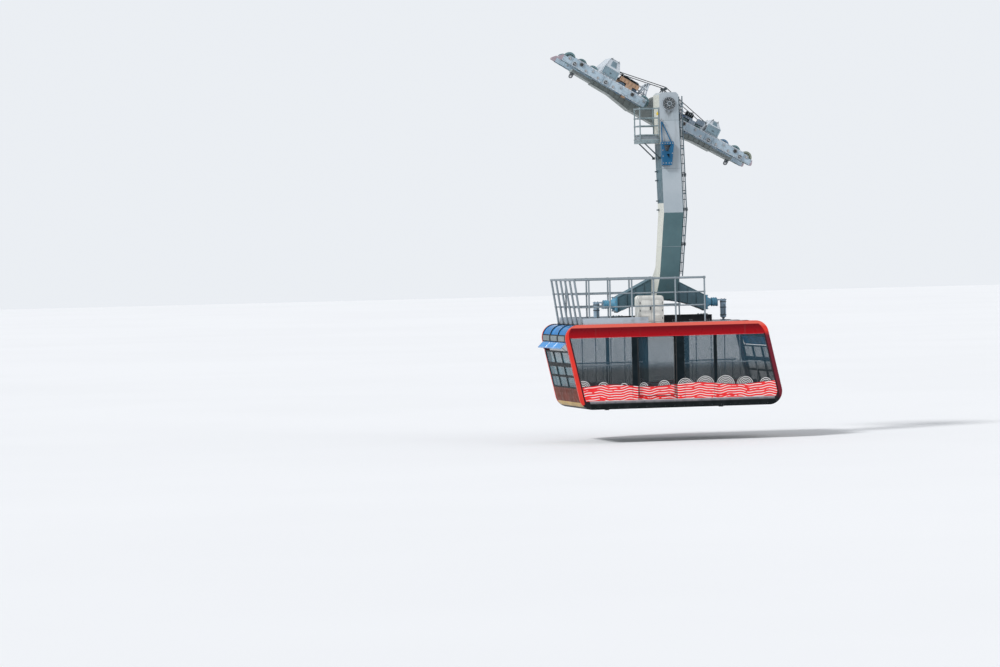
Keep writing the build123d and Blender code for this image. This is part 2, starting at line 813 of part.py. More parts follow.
def cabin_outline(inset=0.0):
    """The cabin's side view: a leaning parallelogram with round corners, inset from its skin."""
    half_height = cabin_height / 2 - inset
    half_length = cabin_length / 2 - inset / cos(radians(end_slant))
    shift = half_height * lean
    shape = polygon((-half_length - shift, half_height), (half_length - shift, half_height),
                    (half_length + shift, -half_height), (-half_length + shift, -half_height))
    return Pos(0, cabin_middle) * fillet(shape.vertices(), corner_radius - inset)


def level_band(low, high):
    """A wide strip between two heights, for trimming side views."""
    return Pos(0, (low + high) / 2) * Rectangle(3 * cabin_length, high - low)


def end_zone(end, distance):
    """The part of the side view within a distance of one sloping end."""
    half = cabin_length / 2
    reach = cabin_height
    inner = end * (half - distance)
    outer = end * (half + cabin_length / 2)
    shift = reach * lean
    zone = polygon((inner - shift, reach), (outer - shift, reach),
                   (outer + shift, -reach), (inner + shift, -reach))
    return Pos(0, cabin_middle) * zone


def x_band(low, high):
    return Pos((low + high) / 2, cabin_middle) * Rectangle(high - low, 2 * cabin_height)


glazing_top = cabin_top - fascia_depth


def glazing():
    """The opening in a side frame: everything between the fascia and the sill."""
    return cabin_outline(frame_width) & level_band(sill_top, glazing_top)


def side_frame():
    """One side's frame: round hoop, deep fascia above and open below for the sill."""
    ring = cabin_outline() - glazing() - sill_shape(seat_gap)
    return prism_y(ring, -cabin_width / 2, -wall_inner)


def sill_shape(margin=0.0):
    inner = cabin_outline() & level_band(cabin_bottom - cut_past, sill_top + margin)
    for end in (-1, 1):
        inner = inner - end_zone(end, frame_width + corner_radius * sill_corner_share - margin)
    return inner


def side_sill():
    return prism_y(sill_shape(), -cabin_width / 2, -wall_inner)


def side_posts():
    """The upright posts between the panes of the near side."""
    posts = []
    for low, high in POSTS:
        post = x_band(low, high) & level_band(sill_top + seat_gap, glazing_top - seat_gap)
        posts.append(prism_y(post, -cabin_width / 2 + post_recess[0], -wall_inner - post_recess[1]))
    return posts


def side_panes(side):
    """The fixed panes of one side, between its posts and the hoop."""
    spans = ((-cabin_length, POSTS[0][0]), (POSTS[1][1], POSTS[2][0]), (POSTS[2][1], cabin_length))
    outer = cabin_width / 2 - glass_recess
    clear = cabin_outline(frame_width + seat_gap) & level_band(sill_top + seat_gap, glazing_top - seat_gap)
    panes = []
    for span in spans:
        low, high = mirrored(*span, -side)
        pane = clear & x_band(low + seat_gap, high - seat_gap)
        panes.append(prism_y(pane, *mirrored(outer - glass_thickness, outer, side)))
    return panes


door_outer = -wall_inner + slide_gap
door_bottom = sill_top + door_floor_gap
door_top = glazing_top + door_head
track_bottom = door_top + track_clearance


def door_leaf():
    """The near door: a glazed sliding leaf hung from two trolleys."""
    low, high = door_left - door_overlap, door_right + door_overlap
    leaf = x_band(low, high) & level_band(door_bottom, door_top)
    leaf = leaf - fillet(door_window(0.0).vertices(), door_corner)
    pieces = [prism_y(leaf, door_outer, door_outer + door_thickness)]
    y = door_outer + door_thickness / 2
    head = track_bottom + track_lip + running_gap
    for x in (low + trolley_inset, high - trolley_inset):
        ends = (x - trolley_length / 2, x + trolley_length / 2)
        half = trolley_neck / 2
        pieces.append(block(ends, (y - half, y + half), (door_top - half, head + half)))
        half = trolley_head[0] / 2
        pieces.append(block(ends, (y - half, y + half), (head, head + trolley_head[1])))
    return fuse(pieces)


def door_window(margin):
    low, high = door_left - door_overlap + door_frame, door_right + door_overlap - door_frame
    window = x_band(low + margin, high - margin)
    foot = door_bottom + door_frame * door_foot_share
    return window & level_band(foot + margin, door_top - door_frame - margin)


def door_pane():
    middle = door_outer + door_thickness / 2
    pane = fillet(door_window(seat_gap).vertices(), door_corner - seat_gap)
    return prism_y(pane, middle - glass_thickness / 2, middle + glass_thickness / 2)


def door_track():
    """The slotted channel over the near door, open below for the trolleys."""
    middle = door_outer + door_thickness / 2
    outer = -wall_inner + seat_gap
    inner = middle + track_width / 2
    top = track_bottom + track_height
    section = polygon((outer, track_bottom), (inner, track_bottom), (inner, top), (outer, top))
    half, low = track_hollow / 2, track_bottom + track_lip
    hollow = polygon((middle - half, low), (middle + half, low), (middle + half, top - track_lip),
                     (middle - half, top - track_lip))
    half = track_slot / 2
    slot = polygon((middle - half, track_bottom - cut_past), (middle + half, track_bottom - cut_past),
                   (middle + half, low + cut_past), (middle - half, low + cut_past))
    start = door_left - door_overlap
    end = door_right + door_overlap + door_travel
    return prism_x(section - hollow - slot, start, end)


def end_shell(end):
    """The skin of one end, from the roof round both corners to the floor."""
    return (cabin_outline() - cabin_outline(end_wall)) & end_zone(end, end_run)


def end_rows():
    """The depths below the cabin's top edge between which each row of openings lies."""
    start = vent_row[1] + window_row_gap
    depth = cabin_height - panel_heights[1] - window_row_gap - start
    rows = {"eaves": eaves_row, "vent": vent_row}
    for name, (top, bottom) in WINDOW_ROWS.items():
        rows[name] = (start + top * depth, start + bottom * depth)
    return rows


def end_cells(end, row, margin=0.0):
    """The openings of one row of an end wall, as blocks that cut right through it."""
    top, bottom = end_rows()[row]
    low = cabin_top - bottom + margin
    high = cabin_top - top - margin if top else cabin_top + corner_radius
    limit = end_limit(end, margin) if row == "eaves" else (-2 * cabin_length, 2 * cabin_length)
    columns = 1 if row == "vent" else 3
    width = 2 * wall_inner / columns
    cells = []
    for number in range(columns):
        left = -wall_inner + number * width + mullion / 2 + margin
        right = -wall_inner + (number + 1) * width - mullion / 2 - margin
        cells.append(block(limit, (left, right), (low, high)))
    return cells


def end_limit(end, margin):
    """How far the eaves glass reaches in along the roof, short of the shell's edge."""
    top_edge = cabin_length / 2 - end_run + end_header + margin
    edge = end * top_edge - cabin_height / 2 * lean
    return (edge, 2 * cabin_length) if end > 0 else (-2 * cabin_length, edge)


def end_frame(end):
    """The mullioned wall of one end, from the eaves' bows down to the bumper, in two solids."""
    panels = level_band(cabin_bottom + bumper_height - seat_gap, cabin_bottom + panel_heights[1] + seat_gap)
    shell = end_shell(end) - (panels & end_face_zone(end))
    split = cabin_top - eaves_row[1] - eaves_tie
    frames = []
    for low, high in ((cabin_bottom, split - seat_gap), (split, cabin_top)):
        frame = prism_y(shell & level_band(low, high), -wall_inner + seat_gap, wall_inner - seat_gap)
        for row in end_rows():
            for cell in end_cells(end, row):
                frame = frame - (cell & zone_block(end))
        frames.append(frame)
    return frames


def end_face_zone(end):
    return end_zone(end, corner_radius + end_wall)


def zone_block(end):
    """A block that holds one end wall and nothing of the other."""
    return prism_y(end_zone(end, end_run + cut_past), -cabin_width, cabin_width)


def end_windows(end, rows):
    """The panes of some rows of one end wall, each in its own opening and curved as the wall is."""
    inset = (end_wall - glass_thickness) / 2
    skin = (cabin_outline(inset) - cabin_outline(inset + glass_thickness)) & end_zone(end, end_run)
    sheet = prism_y(skin, -wall_inner, wall_inner)
    return [sheet & cell for row in rows for cell in end_cells(end, row, seat_gap)]


def vent_flap(end):
    """The top-hinged flap of an end wall, standing open on its hinge bar."""
    depth = vent_row[0] + seat_gap + flap_hinge_radius
    height = vent_row[1] - depth - flap_margin
    half = wall_inner - mullion / 2 - flap_margin
    x = end * (cabin_length / 2 - flap_hinge_radius) + (depth - cabin_height / 2) * lean
    leaf = Pos(0, 0, -height / 2) * Box(flap_thickness, 2 * half, height)
    leaf = Rot(0, end_slant - end * flap_opening, 0) * leaf
    return Pos(x, 0, cabin_top - depth) * leaf + rod_y(flap_hinge_radius, x, cabin_top - depth, -half, half)


def end_strip(end, low, high):
    """The strip of an end wall's face between two heights over the cabin's bottom."""
    face = end_shell(end) & end_face_zone(end) & level_band(cabin_bottom + low, cabin_bottom + high)
    return prism_y(face, -wall_inner + seat_gap, wall_inner - seat_gap)


def end_panel(end):
    """The solid lower panel of an end wall."""
    return end_strip(end, *panel_heights)


def end_bumper(end):
    """The bumper strip round the foot of an end wall."""
    return end_strip(end, bumper_height, panel_heights[0] - seat_gap)


def cabin_roof():
    """The roof panel between the side frames and the two end shells."""
    view = cabin_outline() & level_band(cabin_top - roof_thickness, cabin_top)
    for end in (-1, 1):
        view = view - end_zone(end, end_run + seat_gap)
    return prism_y(view, -wall_inner + seat_gap, wall_inner - seat_gap)


def cabin_floor():
    """The floor panel, which fills the cabin's plan inside its end walls."""
    view = cabin_outline(end_wall + seat_gap) & level_band(sill_top - floor_thickness, sill_top)
    return prism_y(view, -wall_inner + seat_gap, wall_inner - seat_gap)


def underframe():
    """Cross members under the floor, long bearers under them and four round feet."""
    top = sill_top - floor_thickness - seat_gap
    cross_low = top - cross_depth
    low = cabin_bottom + bearer_rise
    half = bearer_width / 2
    reach = cabin_length / 2 - end_run - half
    start, end = cabin_height / 2 * lean - reach, reach
    outer = bearer_rows[-1] + half
    bearer_top = cross_low - seat_gap
    pieces = [block((start, end), (row - half, row + half), (low, bearer_top)) for row in bearer_rows]
    pitch = (end - start - bearer_width) / (cross_members - 1)
    for number in range(cross_members):
        x = start + half + number * pitch
        pieces.append(block((x - half, x + half), (-outer, outer), (cross_low, top)))
    for x in FOOT_RUNS:
        for row in (bearer_rows[0], bearer_rows[-1]):
            pieces.append(tube_between((x, row, low - foot_height), (x, row, low - seat_gap), foot_radius))
    return pieces


def handrails():
    """The near side's handrails either side of the doorway, on legs from the floor."""
    y = -wall_inner + handrail_inset
    z = sill_top + handrail_height
    spans = ((-handrail_reach, door_left - handrail_door_gap),
             (door_right + handrail_post_gap, handrail_reach))
    rails = []
    for low, high in spans:
        pieces = [tube_between((low, y, z), (high, y, z), handrail_radius)]
        for x in (low + handrail_leg_inset, (low + high) / 2, high - handrail_leg_inset):
            pieces.append(tube_between((x, y, sill_top + seat_gap), (x, y, z), handrail_leg_radius))
        rails.append(fuse(pieces))
    return rails


def grab_poles():
    """Upright poles from floor to ceiling in two rows."""
    low, high = sill_top + seat_gap, cabin_top - roof_thickness - seat_gap
    poles = []
    for x in POLES:
        for y in (-pole_row, pole_row):
            poles.append(tube_between((x, y, low), (x, y, high), pole_radius))
    return poles


deck_level = cabin_top + deck_gap + deck_plate


def balcony_deck():
    """The plank deck on cross bearers, with its toe boards."""
    half = cabin_width / 2 - deck_margin
    low = cabin_top + seat_gap
    pieces = [block((deck_start, deck_end), (-half, half), (low + deck_gap, deck_level))]
    pitch = (deck_end - deck_start - 2 * deck_bearer_inset) / (deck_bearers - 1)
    for number in range(deck_bearers):
        x = deck_start + deck_bearer_inset + number * pitch
        reach = deck_bearer_width / 2
        pieces.append(block((x - reach, x + reach), (-half, half), (low, low + deck_gap)))
    toe_top = cabin_top + toe_height
    for side in (-1, 1):
        span = sorted((side * half, side * (half - toe_plate)))
        pieces.append(block((deck_start, toe_end), span, (low, toe_top)))
    pieces.append(block((deck_start, deck_start + toe_plate), (-half, half), (low, toe_top)))
    well = block((well_start, deck_end + cut_past), (-well_half_width, well_half_width),
                 (low - cut_past, deck_level + cut_past))
    return fuse(pieces) - well


rail_row = cabin_width / 2 - deck_margin - toe_plate - post_radius - post_clearance
end_post_foot = deck_start - end_post_radius - post_clearance


def end_post_x(height):
    """Where the leaning end posts stand at a height over the roof."""
    return end_post_foot - rail_lean * height / rail_heights[-1]


def balcony_posts():
    """The posts along both roof edges and the leaning ones across the uphill end, each on its own foot."""
    foot = cabin_top + seat_gap
    rail_z = cabin_top + rail_heights[-1]
    seat = rail_radius + seat_gap
    posts = []
    for y in (-rail_row, rail_row):
        for x in SIDE_RAIL_POSTS:
            base = deck_level + seat_gap if x < deck_end else foot
            posts.append(tube_between((x, y, base), (x, y, rail_z - seat), post_radius))
    share = seat / sqrt(rail_lean ** 2 + rail_heights[-1] ** 2)
    top = (end_post_x(rail_heights[-1]) + share * rail_lean, rail_z - share * rail_heights[-1])
    half, thickness = post_pad[0] / 2, post_pad[1]
    for number in range(end_post_count):
        y = -rail_row + 2 * rail_row * number / (end_post_count - 1)
        pad_x = (end_post_foot - half, end_post_foot + half)
        pad = block(pad_x, (y - half, y + half), (foot, foot + thickness))
        start = (end_post_x(thickness / 2), y, foot + thickness / 2)
        posts.append(pad + tube_between(start, (top[0], y, top[1]), end_post_radius))
    return posts


def balcony_railing():
    """Guard rails on the posts: the top rails over them and the thinner rails against their inner faces."""
    slant = sqrt(rail_lean ** 2 + rail_heights[-1] ** 2) / rail_heights[-1]
    rails = []
    for height in rail_heights:
        z = cabin_top + height
        radius, x, row, end_row = rail_radius, end_post_x(height), rail_row, rail_row + rail_radius
        if height < rail_heights[-1]:
            radius = mid_rail_radius
            x += (end_post_radius + seat_gap + radius) * slant
            row -= post_radius + seat_gap + radius
            end_row = row + radius
        rails.append(tube_between((x, -end_row, z), (x, end_row, z), radius))
        for y in (-row, row):
            rails.append(tube_between((x + radius + post_clearance, y, z), (rail_end, y, z), radius))
    return rails


def roof_carrier():
    """The frame on the roof that takes the yoke's two feet."""
    low = cabin_top + seat_gap
    high = cabin_top + carrier_height
    row, half = carrier_row, carrier_width / 2
    pieces = []
    for side in (-1, 1):
        y = side * row
        pieces.append(block((-carrier_reach, carrier_reach), (y - half, y + half), (low, high)))
        x = side * (yoke_reach - yoke_foot / 2)
        pieces.append(block((x - half, x + half), (-row, row), (low, high)))
    return fuse(pieces)


def roof_cabinet():
    """The pale equipment cabinet between the balcony and the yoke."""
    low = cabin_top + seat_gap
    start, end = cabinet_start, cabinet_start + cabinet_length
    high = low + cabinet_height
    shape = polygon((start, low), (end, low), (end, high), (start, high))
    top_corners = shape.vertices().sort_by(Axis.Y)[-2:]
    shape = fillet(top_corners, cabinet_round)
    return prism_y(shape, -cabinet_near_face, -cabinet_near_face + cabinet_depth)


def build_nodes():
    """Every piece by its name, each as a list of solids."""
    nodes = {}
    bogie_end = rope_offset + bogie_half_gauge + bogie_plate / 2
    truck_end = rope_offset + truck_half_gauge + truck_plate
    for half in HALVES:
        for number, run in enumerate(axle_runs(), 1):
            end = bogie_end if number <= bogie_axles else truck_end
            nodes[f"wheelset_{half}_{number}"] = [wheelset(half, run, end)]
    pairs = [(half, side) for half in HALVES for side in SIDES.values()]
    nodes["truck_frames"] = [truck_frame(half, side) for half, side in pairs]
    nodes["end_bogies"] = [bogie_frame(half, side) for half, side in pairs]
    nodes["rocker_pins"] = rocker_pins()
    nodes["carriage_beam"] = [carriage_beam()]
    nodes["hanger_pin"] = [hanger_pin()]
    nodes["brake_housings"] = [brake_housing(half) for half in HALVES]
    nodes["rope_brakes"] = [rope_brake(half, side) for half, side in pairs]
    nodes["brake_cylinders"] = [brake_cylinder(half, side) for half, side in pairs]
    nodes["rope_scrapers"] = [rope_scraper(half, side) for half, side in pairs]
    nodes["haul_rope_lugs"] = [haul_rope_lug(half) for half in HALVES]

    nodes["hanger_column"] = [hanger_column()]
    nodes["bearing_cover"] = [bearing_cover()]
    nodes["service_platform"] = [service_platform()]
    nodes["lift_bracket"] = [lift_bracket()]
    nodes["hanger_ladder"] = [hanger_ladder()]
    nodes["yoke"] = [yoke()]
    nodes["yoke_buffers"] = yoke_buffers()
    nodes["roof_dampers"] = roof_dampers()

    nodes["near_side_frame"] = [side_frame()]
    nodes["far_side_frame"] = [mirror(side_frame(), Plane.XZ)]
    nodes["side_sills"] = [side_sill(), mirror(side_sill(), Plane.XZ)]
    nodes["side_posts"] = side_posts() + [turned(post) for post in side_posts()]
    nodes["near_side_windows"] = side_panes(SIDES["near"])
    nodes["far_side_windows"] = side_panes(SIDES["far"])
    nodes["near_door"] = [door_leaf()]
    nodes["near_door_window"] = [door_pane()]
    nodes["far_door"] = [turned(door_leaf())]
    nodes["far_door_window"] = [turned(door_pane())]
    nodes["door_tracks"] = [door_track(), turned(door_track())]
    nodes["end_frames"] = [end_frame(end)[0] for end in (-1, 1)]
    nodes["eaves_frames"] = [end_frame(end)[1] for end in (-1, 1)]
    nodes["end_windows"] = end_windows(-1, WINDOW_ROWS) + end_windows(1, WINDOW_ROWS)
    nodes["eaves_windows"] = end_windows(-1, ["eaves"]) + end_windows(1, ["eaves"])
    nodes["vent_flaps"] = [vent_flap(end) for end in (-1, 1)]
    nodes["end_panels"] = [end_panel(end) for end in (-1, 1)]
    nodes["end_bumpers"] = [end_bumper(end) for end in (-1, 1)]
    nodes["cabin_roof"] = [cabin_roof()]
    nodes["cabin_floor"] = [cabin_floor()]
    nodes["underframe"] = underframe()
    nodes["handrails"] = handrails() + [turned(rail) for rail in handrails()]
    nodes["grab_poles"] = grab_poles()
    nodes["balcony_deck"] = [balcony_deck()]
    nodes["balcony_posts"] = balcony_posts()
    nodes["balcony_railing"] = balcony_railing()
    nodes["roof_carrier"] = [roof_carrier()]
    nodes["roof_cabinet"] = [roof_cabinet()]
    return nodes


def solids_of(shapes):
    solids = []
    for shape in shapes:
        solids += shape.solids()
    return solids


if __name__ == "__main__":
    os.makedirs("parts", exist_ok=True)
    for name, shapes in build_nodes().items():
        solids = solids_of(shapes)
        whole = solids[0] if len(solids) == 1 else Compound(children=solids)
        export_step(whole, f"parts/{name}.step")
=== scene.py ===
import json
import math
from functools import partial
from itertools import product

import bmesh
import bpy
from mathutils import Matrix, Vector

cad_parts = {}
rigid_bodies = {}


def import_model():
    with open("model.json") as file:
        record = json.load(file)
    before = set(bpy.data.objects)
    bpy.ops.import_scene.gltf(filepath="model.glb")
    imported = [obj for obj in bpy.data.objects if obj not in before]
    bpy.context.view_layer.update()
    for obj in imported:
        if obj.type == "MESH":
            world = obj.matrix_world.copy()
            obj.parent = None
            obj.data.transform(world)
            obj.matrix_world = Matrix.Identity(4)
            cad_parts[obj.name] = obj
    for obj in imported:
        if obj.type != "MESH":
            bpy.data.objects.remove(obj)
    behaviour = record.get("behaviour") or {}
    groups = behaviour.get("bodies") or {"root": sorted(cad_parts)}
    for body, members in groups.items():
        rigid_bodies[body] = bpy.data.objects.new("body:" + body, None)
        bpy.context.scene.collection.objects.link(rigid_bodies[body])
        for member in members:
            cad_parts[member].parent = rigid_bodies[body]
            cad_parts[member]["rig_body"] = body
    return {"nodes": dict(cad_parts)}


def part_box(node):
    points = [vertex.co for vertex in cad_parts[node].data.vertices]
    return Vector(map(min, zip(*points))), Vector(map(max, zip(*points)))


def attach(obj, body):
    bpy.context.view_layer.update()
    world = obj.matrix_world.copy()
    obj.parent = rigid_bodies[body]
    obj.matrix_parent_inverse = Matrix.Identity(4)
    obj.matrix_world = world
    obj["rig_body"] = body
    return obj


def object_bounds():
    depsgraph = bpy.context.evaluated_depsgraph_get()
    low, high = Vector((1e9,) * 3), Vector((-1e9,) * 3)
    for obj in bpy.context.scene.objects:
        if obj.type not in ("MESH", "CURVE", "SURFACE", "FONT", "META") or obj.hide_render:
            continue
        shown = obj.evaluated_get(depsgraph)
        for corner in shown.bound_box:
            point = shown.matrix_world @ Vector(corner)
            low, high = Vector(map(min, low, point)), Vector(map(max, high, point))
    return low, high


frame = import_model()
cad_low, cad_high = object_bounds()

# Looks of the tram car. Metres. +X points down the line, +Z up, -Y is the hanger's side.

# The photograph: its frame, the hanger pin's place in it, the scale there and the horizon
PHOTO_WIDTH = 1000.0
PHOTO_HEIGHT = 667.0
FOCAL_PX = 4000.0
PX_PER_METRE = 30.0
PIN_PX = (669.5, 103.5)
HORIZON_PX = 250.0
PHOTO_ROLL = math.radians(1.3)
PHOTO_AZIMUTH = math.radians(-15.0)
SENSOR = 36.0

# Stage. Suns are name: (direction, strength, angle)
FLOOR_DROP = 1.1
FLOOR_HALF = 450.0
BACKDROP = (0.83, 0.86, 0.90)
SKY = (0.93, 0.96, 1.0)
SKY_STRENGTH = 0.46
SUNS = {"key": ((-0.80, -0.40, 0.78), 2.5, 9.0), "fill": ((0.70, -0.85, 0.35), 0.35, 30.0)}

# The carriage's places, as runs along the rope, levels over it and rows across
AXLE_RUNS = (3.475, 3.025, 2.575, 1.475, 1.025, 0.575)
PIN_RUNS = (2.025, 3.250)
TIE_RUNS = (2.800, 2.325, 1.725)
AXLE_LEVEL = 0.212
PIN_LEVEL = 0.110
EAVES_LEVEL = 0.610
CROWN_LEVEL = 0.84
ROPE_ROW = 0.500
TRUCK_FACE = 0.630
BOGIE_FACE = 0.600
MAST_ROW = 0.150
MAST_X, MAST_Z = 0.30, 1.02
CYLINDER_EYES = {"upper": (0.815, 0.620), "lower": (0.785, 0.590)}
# The rope brakes: their blocks from run to run with their tops, and the cylinder's runs, radius and level
BRAKES = {"upper": (((0.925, 1.645, 0.570),), (0.975, 1.645, 0.050, 0.620)),
          "lower": (((0.945, 1.225, 0.500), (1.425, 1.665, 0.600)), (0.945, 1.225, 0.090, 0.590))}

# The hanger's front face as heights and Y, its half width, its ladder's plane and stiles, its platform
COLUMN_FRONT = ((0.84, -1.75), (-0.09, -1.75), (-3.17, -2.05), (-5.39, -1.30))
COLUMN_HALF = 0.330
LADDER_PLANE = 0.480
STILES = (0.11, 0.51)
PLATFORM_FLOOR = -0.720
PLATFORM_RAILS = (0.31, -0.01, -0.27, -0.57)
YOKE_RADIUS = 3.266

# The cabin's end walls, deck, railing and inside
WALL_SLANT = math.radians(12.5)
WALL_MIDDLE = -8.245
WALL_FACE = 3.51
END_LEAN = 0.2217
END_REACH = 3.50
END_CORE = 3.4793
CORNER_RADIUS = 0.45
FLAP_REACH = (0.03, 0.262)
DECK_TOP = -6.745
DECK_END = -1.15
SIDE_POSTS = (-2.860, -2.140, -1.390, -0.640, 0.110, 1.116)
RAIL_ROW = 1.644
RAIL_HEIGHTS = (0.57, 1.01, 1.49)
RAIL_FEET = (-2.93, -2.215, -1.50, 0.37, 1.65, 2.93)
SILL_TOP = -9.385
CEILING = -6.95
CABIN_FLOOR = -9.39

# The red hoop round each side, and the print along the foot of the glass
FASCIA_DEPTH = 0.43
RIM_WIDTH = 0.115
BAND_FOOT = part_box("near_side_windows")[0].z
BAND_HEIGHT = 0.50
BAND_FADE = 0.012
WAVE_PITCH = 0.082
ARC_REACH = 0.70
ARC_PITCH = 0.055

# The colour of dirt, and of the painted shade put in corners
DIRT_AND_SHADE = (0.105, 0.10, 0.09)
SHINE = "Specular IOR Level"
STEEL = "machined_steel"
DARK = "dark_fitting"
RUBBER = "rubber_black"
HALVES = ("upper", "lower")
SIDES = (-1, 1)
CORNERS = tuple(product(SIDES, SIDES))
ALONG_X = (1, 0, 0)
ALONG_Y = (0, 1, 0)
UP = (0, 0, 1)


def middle(name):
    low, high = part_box(name)
    return (low + high) / 2


def rgba(colour):
    return (*colour, 1.0)


PIN = Vector((0.0, 0.0, middle("hanger_pin").z))
ROOF_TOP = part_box("cabin_roof")[1].z
materials = {}


def operator(kind, swapped=False):
    def reckon(value, other=0.0):
        pair = (other, value) if swapped else (value, other)
        return value.graph.math(kind, *pair)
    return reckon


class Value:
    """A number in a node tree. Reckoning with it adds Math nodes."""

    __add__ = operator("ADD")
    __sub__ = operator("SUBTRACT")
    __rsub__ = operator("SUBTRACT", swapped=True)
    __mul__ = operator("MULTIPLY")
    __truediv__ = operator("DIVIDE")
    __abs__ = operator("ABSOLUTE")
    sine = operator("SINE")
    fract = operator("FRACT")
    root = operator("SQRT")
    larger = operator("MAXIMUM")

    def __init__(self, graph, socket):
        self.graph, self.socket = graph, socket


class Graph:
    """The node tree of a material, which ends in its Principled shader, or that of the sky."""

    def __init__(self, name, settings=(), owner=None):
        self.name = name
        self.owner = owner or bpy.data.materials.new(name)
        self.owner.use_nodes = True
        self.tree = self.owner.node_tree
        self.shader = self.tree.nodes.get("Principled BSDF")
        for socket, value in dict(settings).items():
            self.shader.inputs[socket].default_value = value

    def add(self, kind, inputs=(), **settings):
        node = self.tree.nodes.new(kind)
        for key, value in settings.items():
            setattr(node, key, value)
        for key, value in dict(inputs).items():
            self.put(value, node.inputs[key])
        return node

    def put(self, value, socket):
        value = getattr(value, "socket", value)
        if isinstance(value, bpy.types.NodeSocket):
            self.tree.links.new(value, socket)
        else:
            socket.default_value = value

    def place(self):
        return self.add("ShaderNodeTexCoord").outputs["Object"]

    def parts(self, vector):
        return [Value(self, socket) for socket in self.add("ShaderNodeSeparateXYZ", {0: vector}).outputs]

    def axes(self):
        return self.parts(self.place())

    def normal(self):
        return self.parts(self.add("ShaderNodeNewGeometry").outputs["Normal"])

    def math(self, operation, first, second):
        return Value(self, self.add("ShaderNodeMath", {0: first, 1: second}, operation=operation).outputs[0])

    def ramp(self, value, low, high, start=0.0, end=1.0):
        inputs = {0: value, 1: low, 2: high, 3: start, 4: end}
        return Value(self, self.add("ShaderNodeMapRange", inputs, interpolation_type="SMOOTHSTEP").outputs[0])

    def mix(self, share, first, second):
        node = self.add("ShaderNodeMix", data_type="RGBA")
        for value, index in ((share, 0), (first, 6), (second, 7)):
            self.put(rgba(value) if isinstance(value, tuple) else value, node.inputs[index])
        return node.outputs[2]

    def stretch(self, scales):
        return self.add("ShaderNodeVectorMath", {0: self.place(), 1: scales}, operation="MULTIPLY").outputs[0]

    def noise(self, scale, detail=5.0, stretch=(1.0, 1.0, 1.0)):
        inputs = {"Vector": self.stretch(stretch), "Scale": scale, "Detail": detail, "Roughness": 0.55}
        return self.add("ShaderNodeTexNoise", inputs).outputs[0]

    def mottle(self, scale, first, second, detail=5.0, low=0.35, high=0.7, stretch=(1.0, 1.0, 1.0)):
        """The first colour with clouds of the second."""
        return self.mix(self.ramp(self.noise(scale, detail, stretch), low, high), first, second)

    def patches(self, scale, low, high, detail=5.0):
        """A roughness that wanders between two values."""
        return self.ramp(self.noise(scale, detail), 0.3, 0.7, low, high)

    def streaked(self, tone, scale, stretch, low, high, amount):
        """The tone with runs of dirt down it."""
        return self.mix(self.ramp(self.noise(scale, 5.0, stretch), low, high, 0.0, amount), tone, DIRT_AND_SHADE)

    # Ambient occlusion darkens corners and recesses: dirt that gathers there, and painted shade where shade
    # falls.
    def crevice_shade(self, distance):
        node = self.add("ShaderNodeAmbientOcclusion", {"Distance": distance}, samples=6, only_local=False)
        return self.ramp(node.outputs["AO"], 0.25, 0.85, 1.0, 0.0)

    def soiled_and_shaded(self, tone, distance, amount):
        """The tone with dirt and painted shade in its corners."""
        return self.mix(self.crevice_shade(distance) * amount, tone, DIRT_AND_SHADE)

    def finish(self, tone, rough, height, strength, distance=0.002):
        """Gives the material its colour, roughness and relief, and lists it under its name."""
        bump = self.add("ShaderNodeBump", {"Strength": strength, "Distance": distance, "Height": height})
        for value, socket in ((tone, "Base Color"), (rough, "Roughness"), (bump.outputs[0], "Normal")):
            self.put(value, self.shader.inputs[socket])
        materials[self.name] = self.owner


def weathered(graph, base, shade, corner_grime_and_shade, streaks, rough, grain):
    """Finishes a painted surface: mottling, rain streaks, dirt and painted shade in corners and a fine orange
    peel.
    """
    tone = graph.mottle(1.7, base, shade, 6.0)
    tone = graph.mix(graph.ramp(graph.noise(grain), 0.56, 0.78, 0.0, 0.35), tone, shade)
    tone = graph.streaked(tone, 3.2, (2.4, 2.4, 0.22), 0.52, 0.78, streaks)
    # Dirt and painted shade in the corners, found by ambient occlusion.
    corner = graph.crevice_shade(0.16) * corner_grime_and_shade * graph.ramp(graph.noise(9.0, 4.0), 0.2, 0.7, 0.5, 1.0)
    tone = graph.mix(corner, tone, DIRT_AND_SHADE)
    graph.finish(tone, graph.patches(6.0, rough - 0.08, rough + 0.12), graph.noise(140.0, 3.0), 0.12)


def paint(name, base, shade, corner_grime_and_shade, streaks, rough, grain, metallic=0.0, coat=0.0):
    shine = 0.04 if max(base) < 0.05 else 0.1 if max(base) < 0.2 else 0.25
    graph = Graph(name, {"Metallic": metallic, "Coat Weight": coat, "Coat Roughness": 0.12, SHINE: shine})
    return weathered(graph, base, shade, corner_grime_and_shade, streaks, rough, grain)
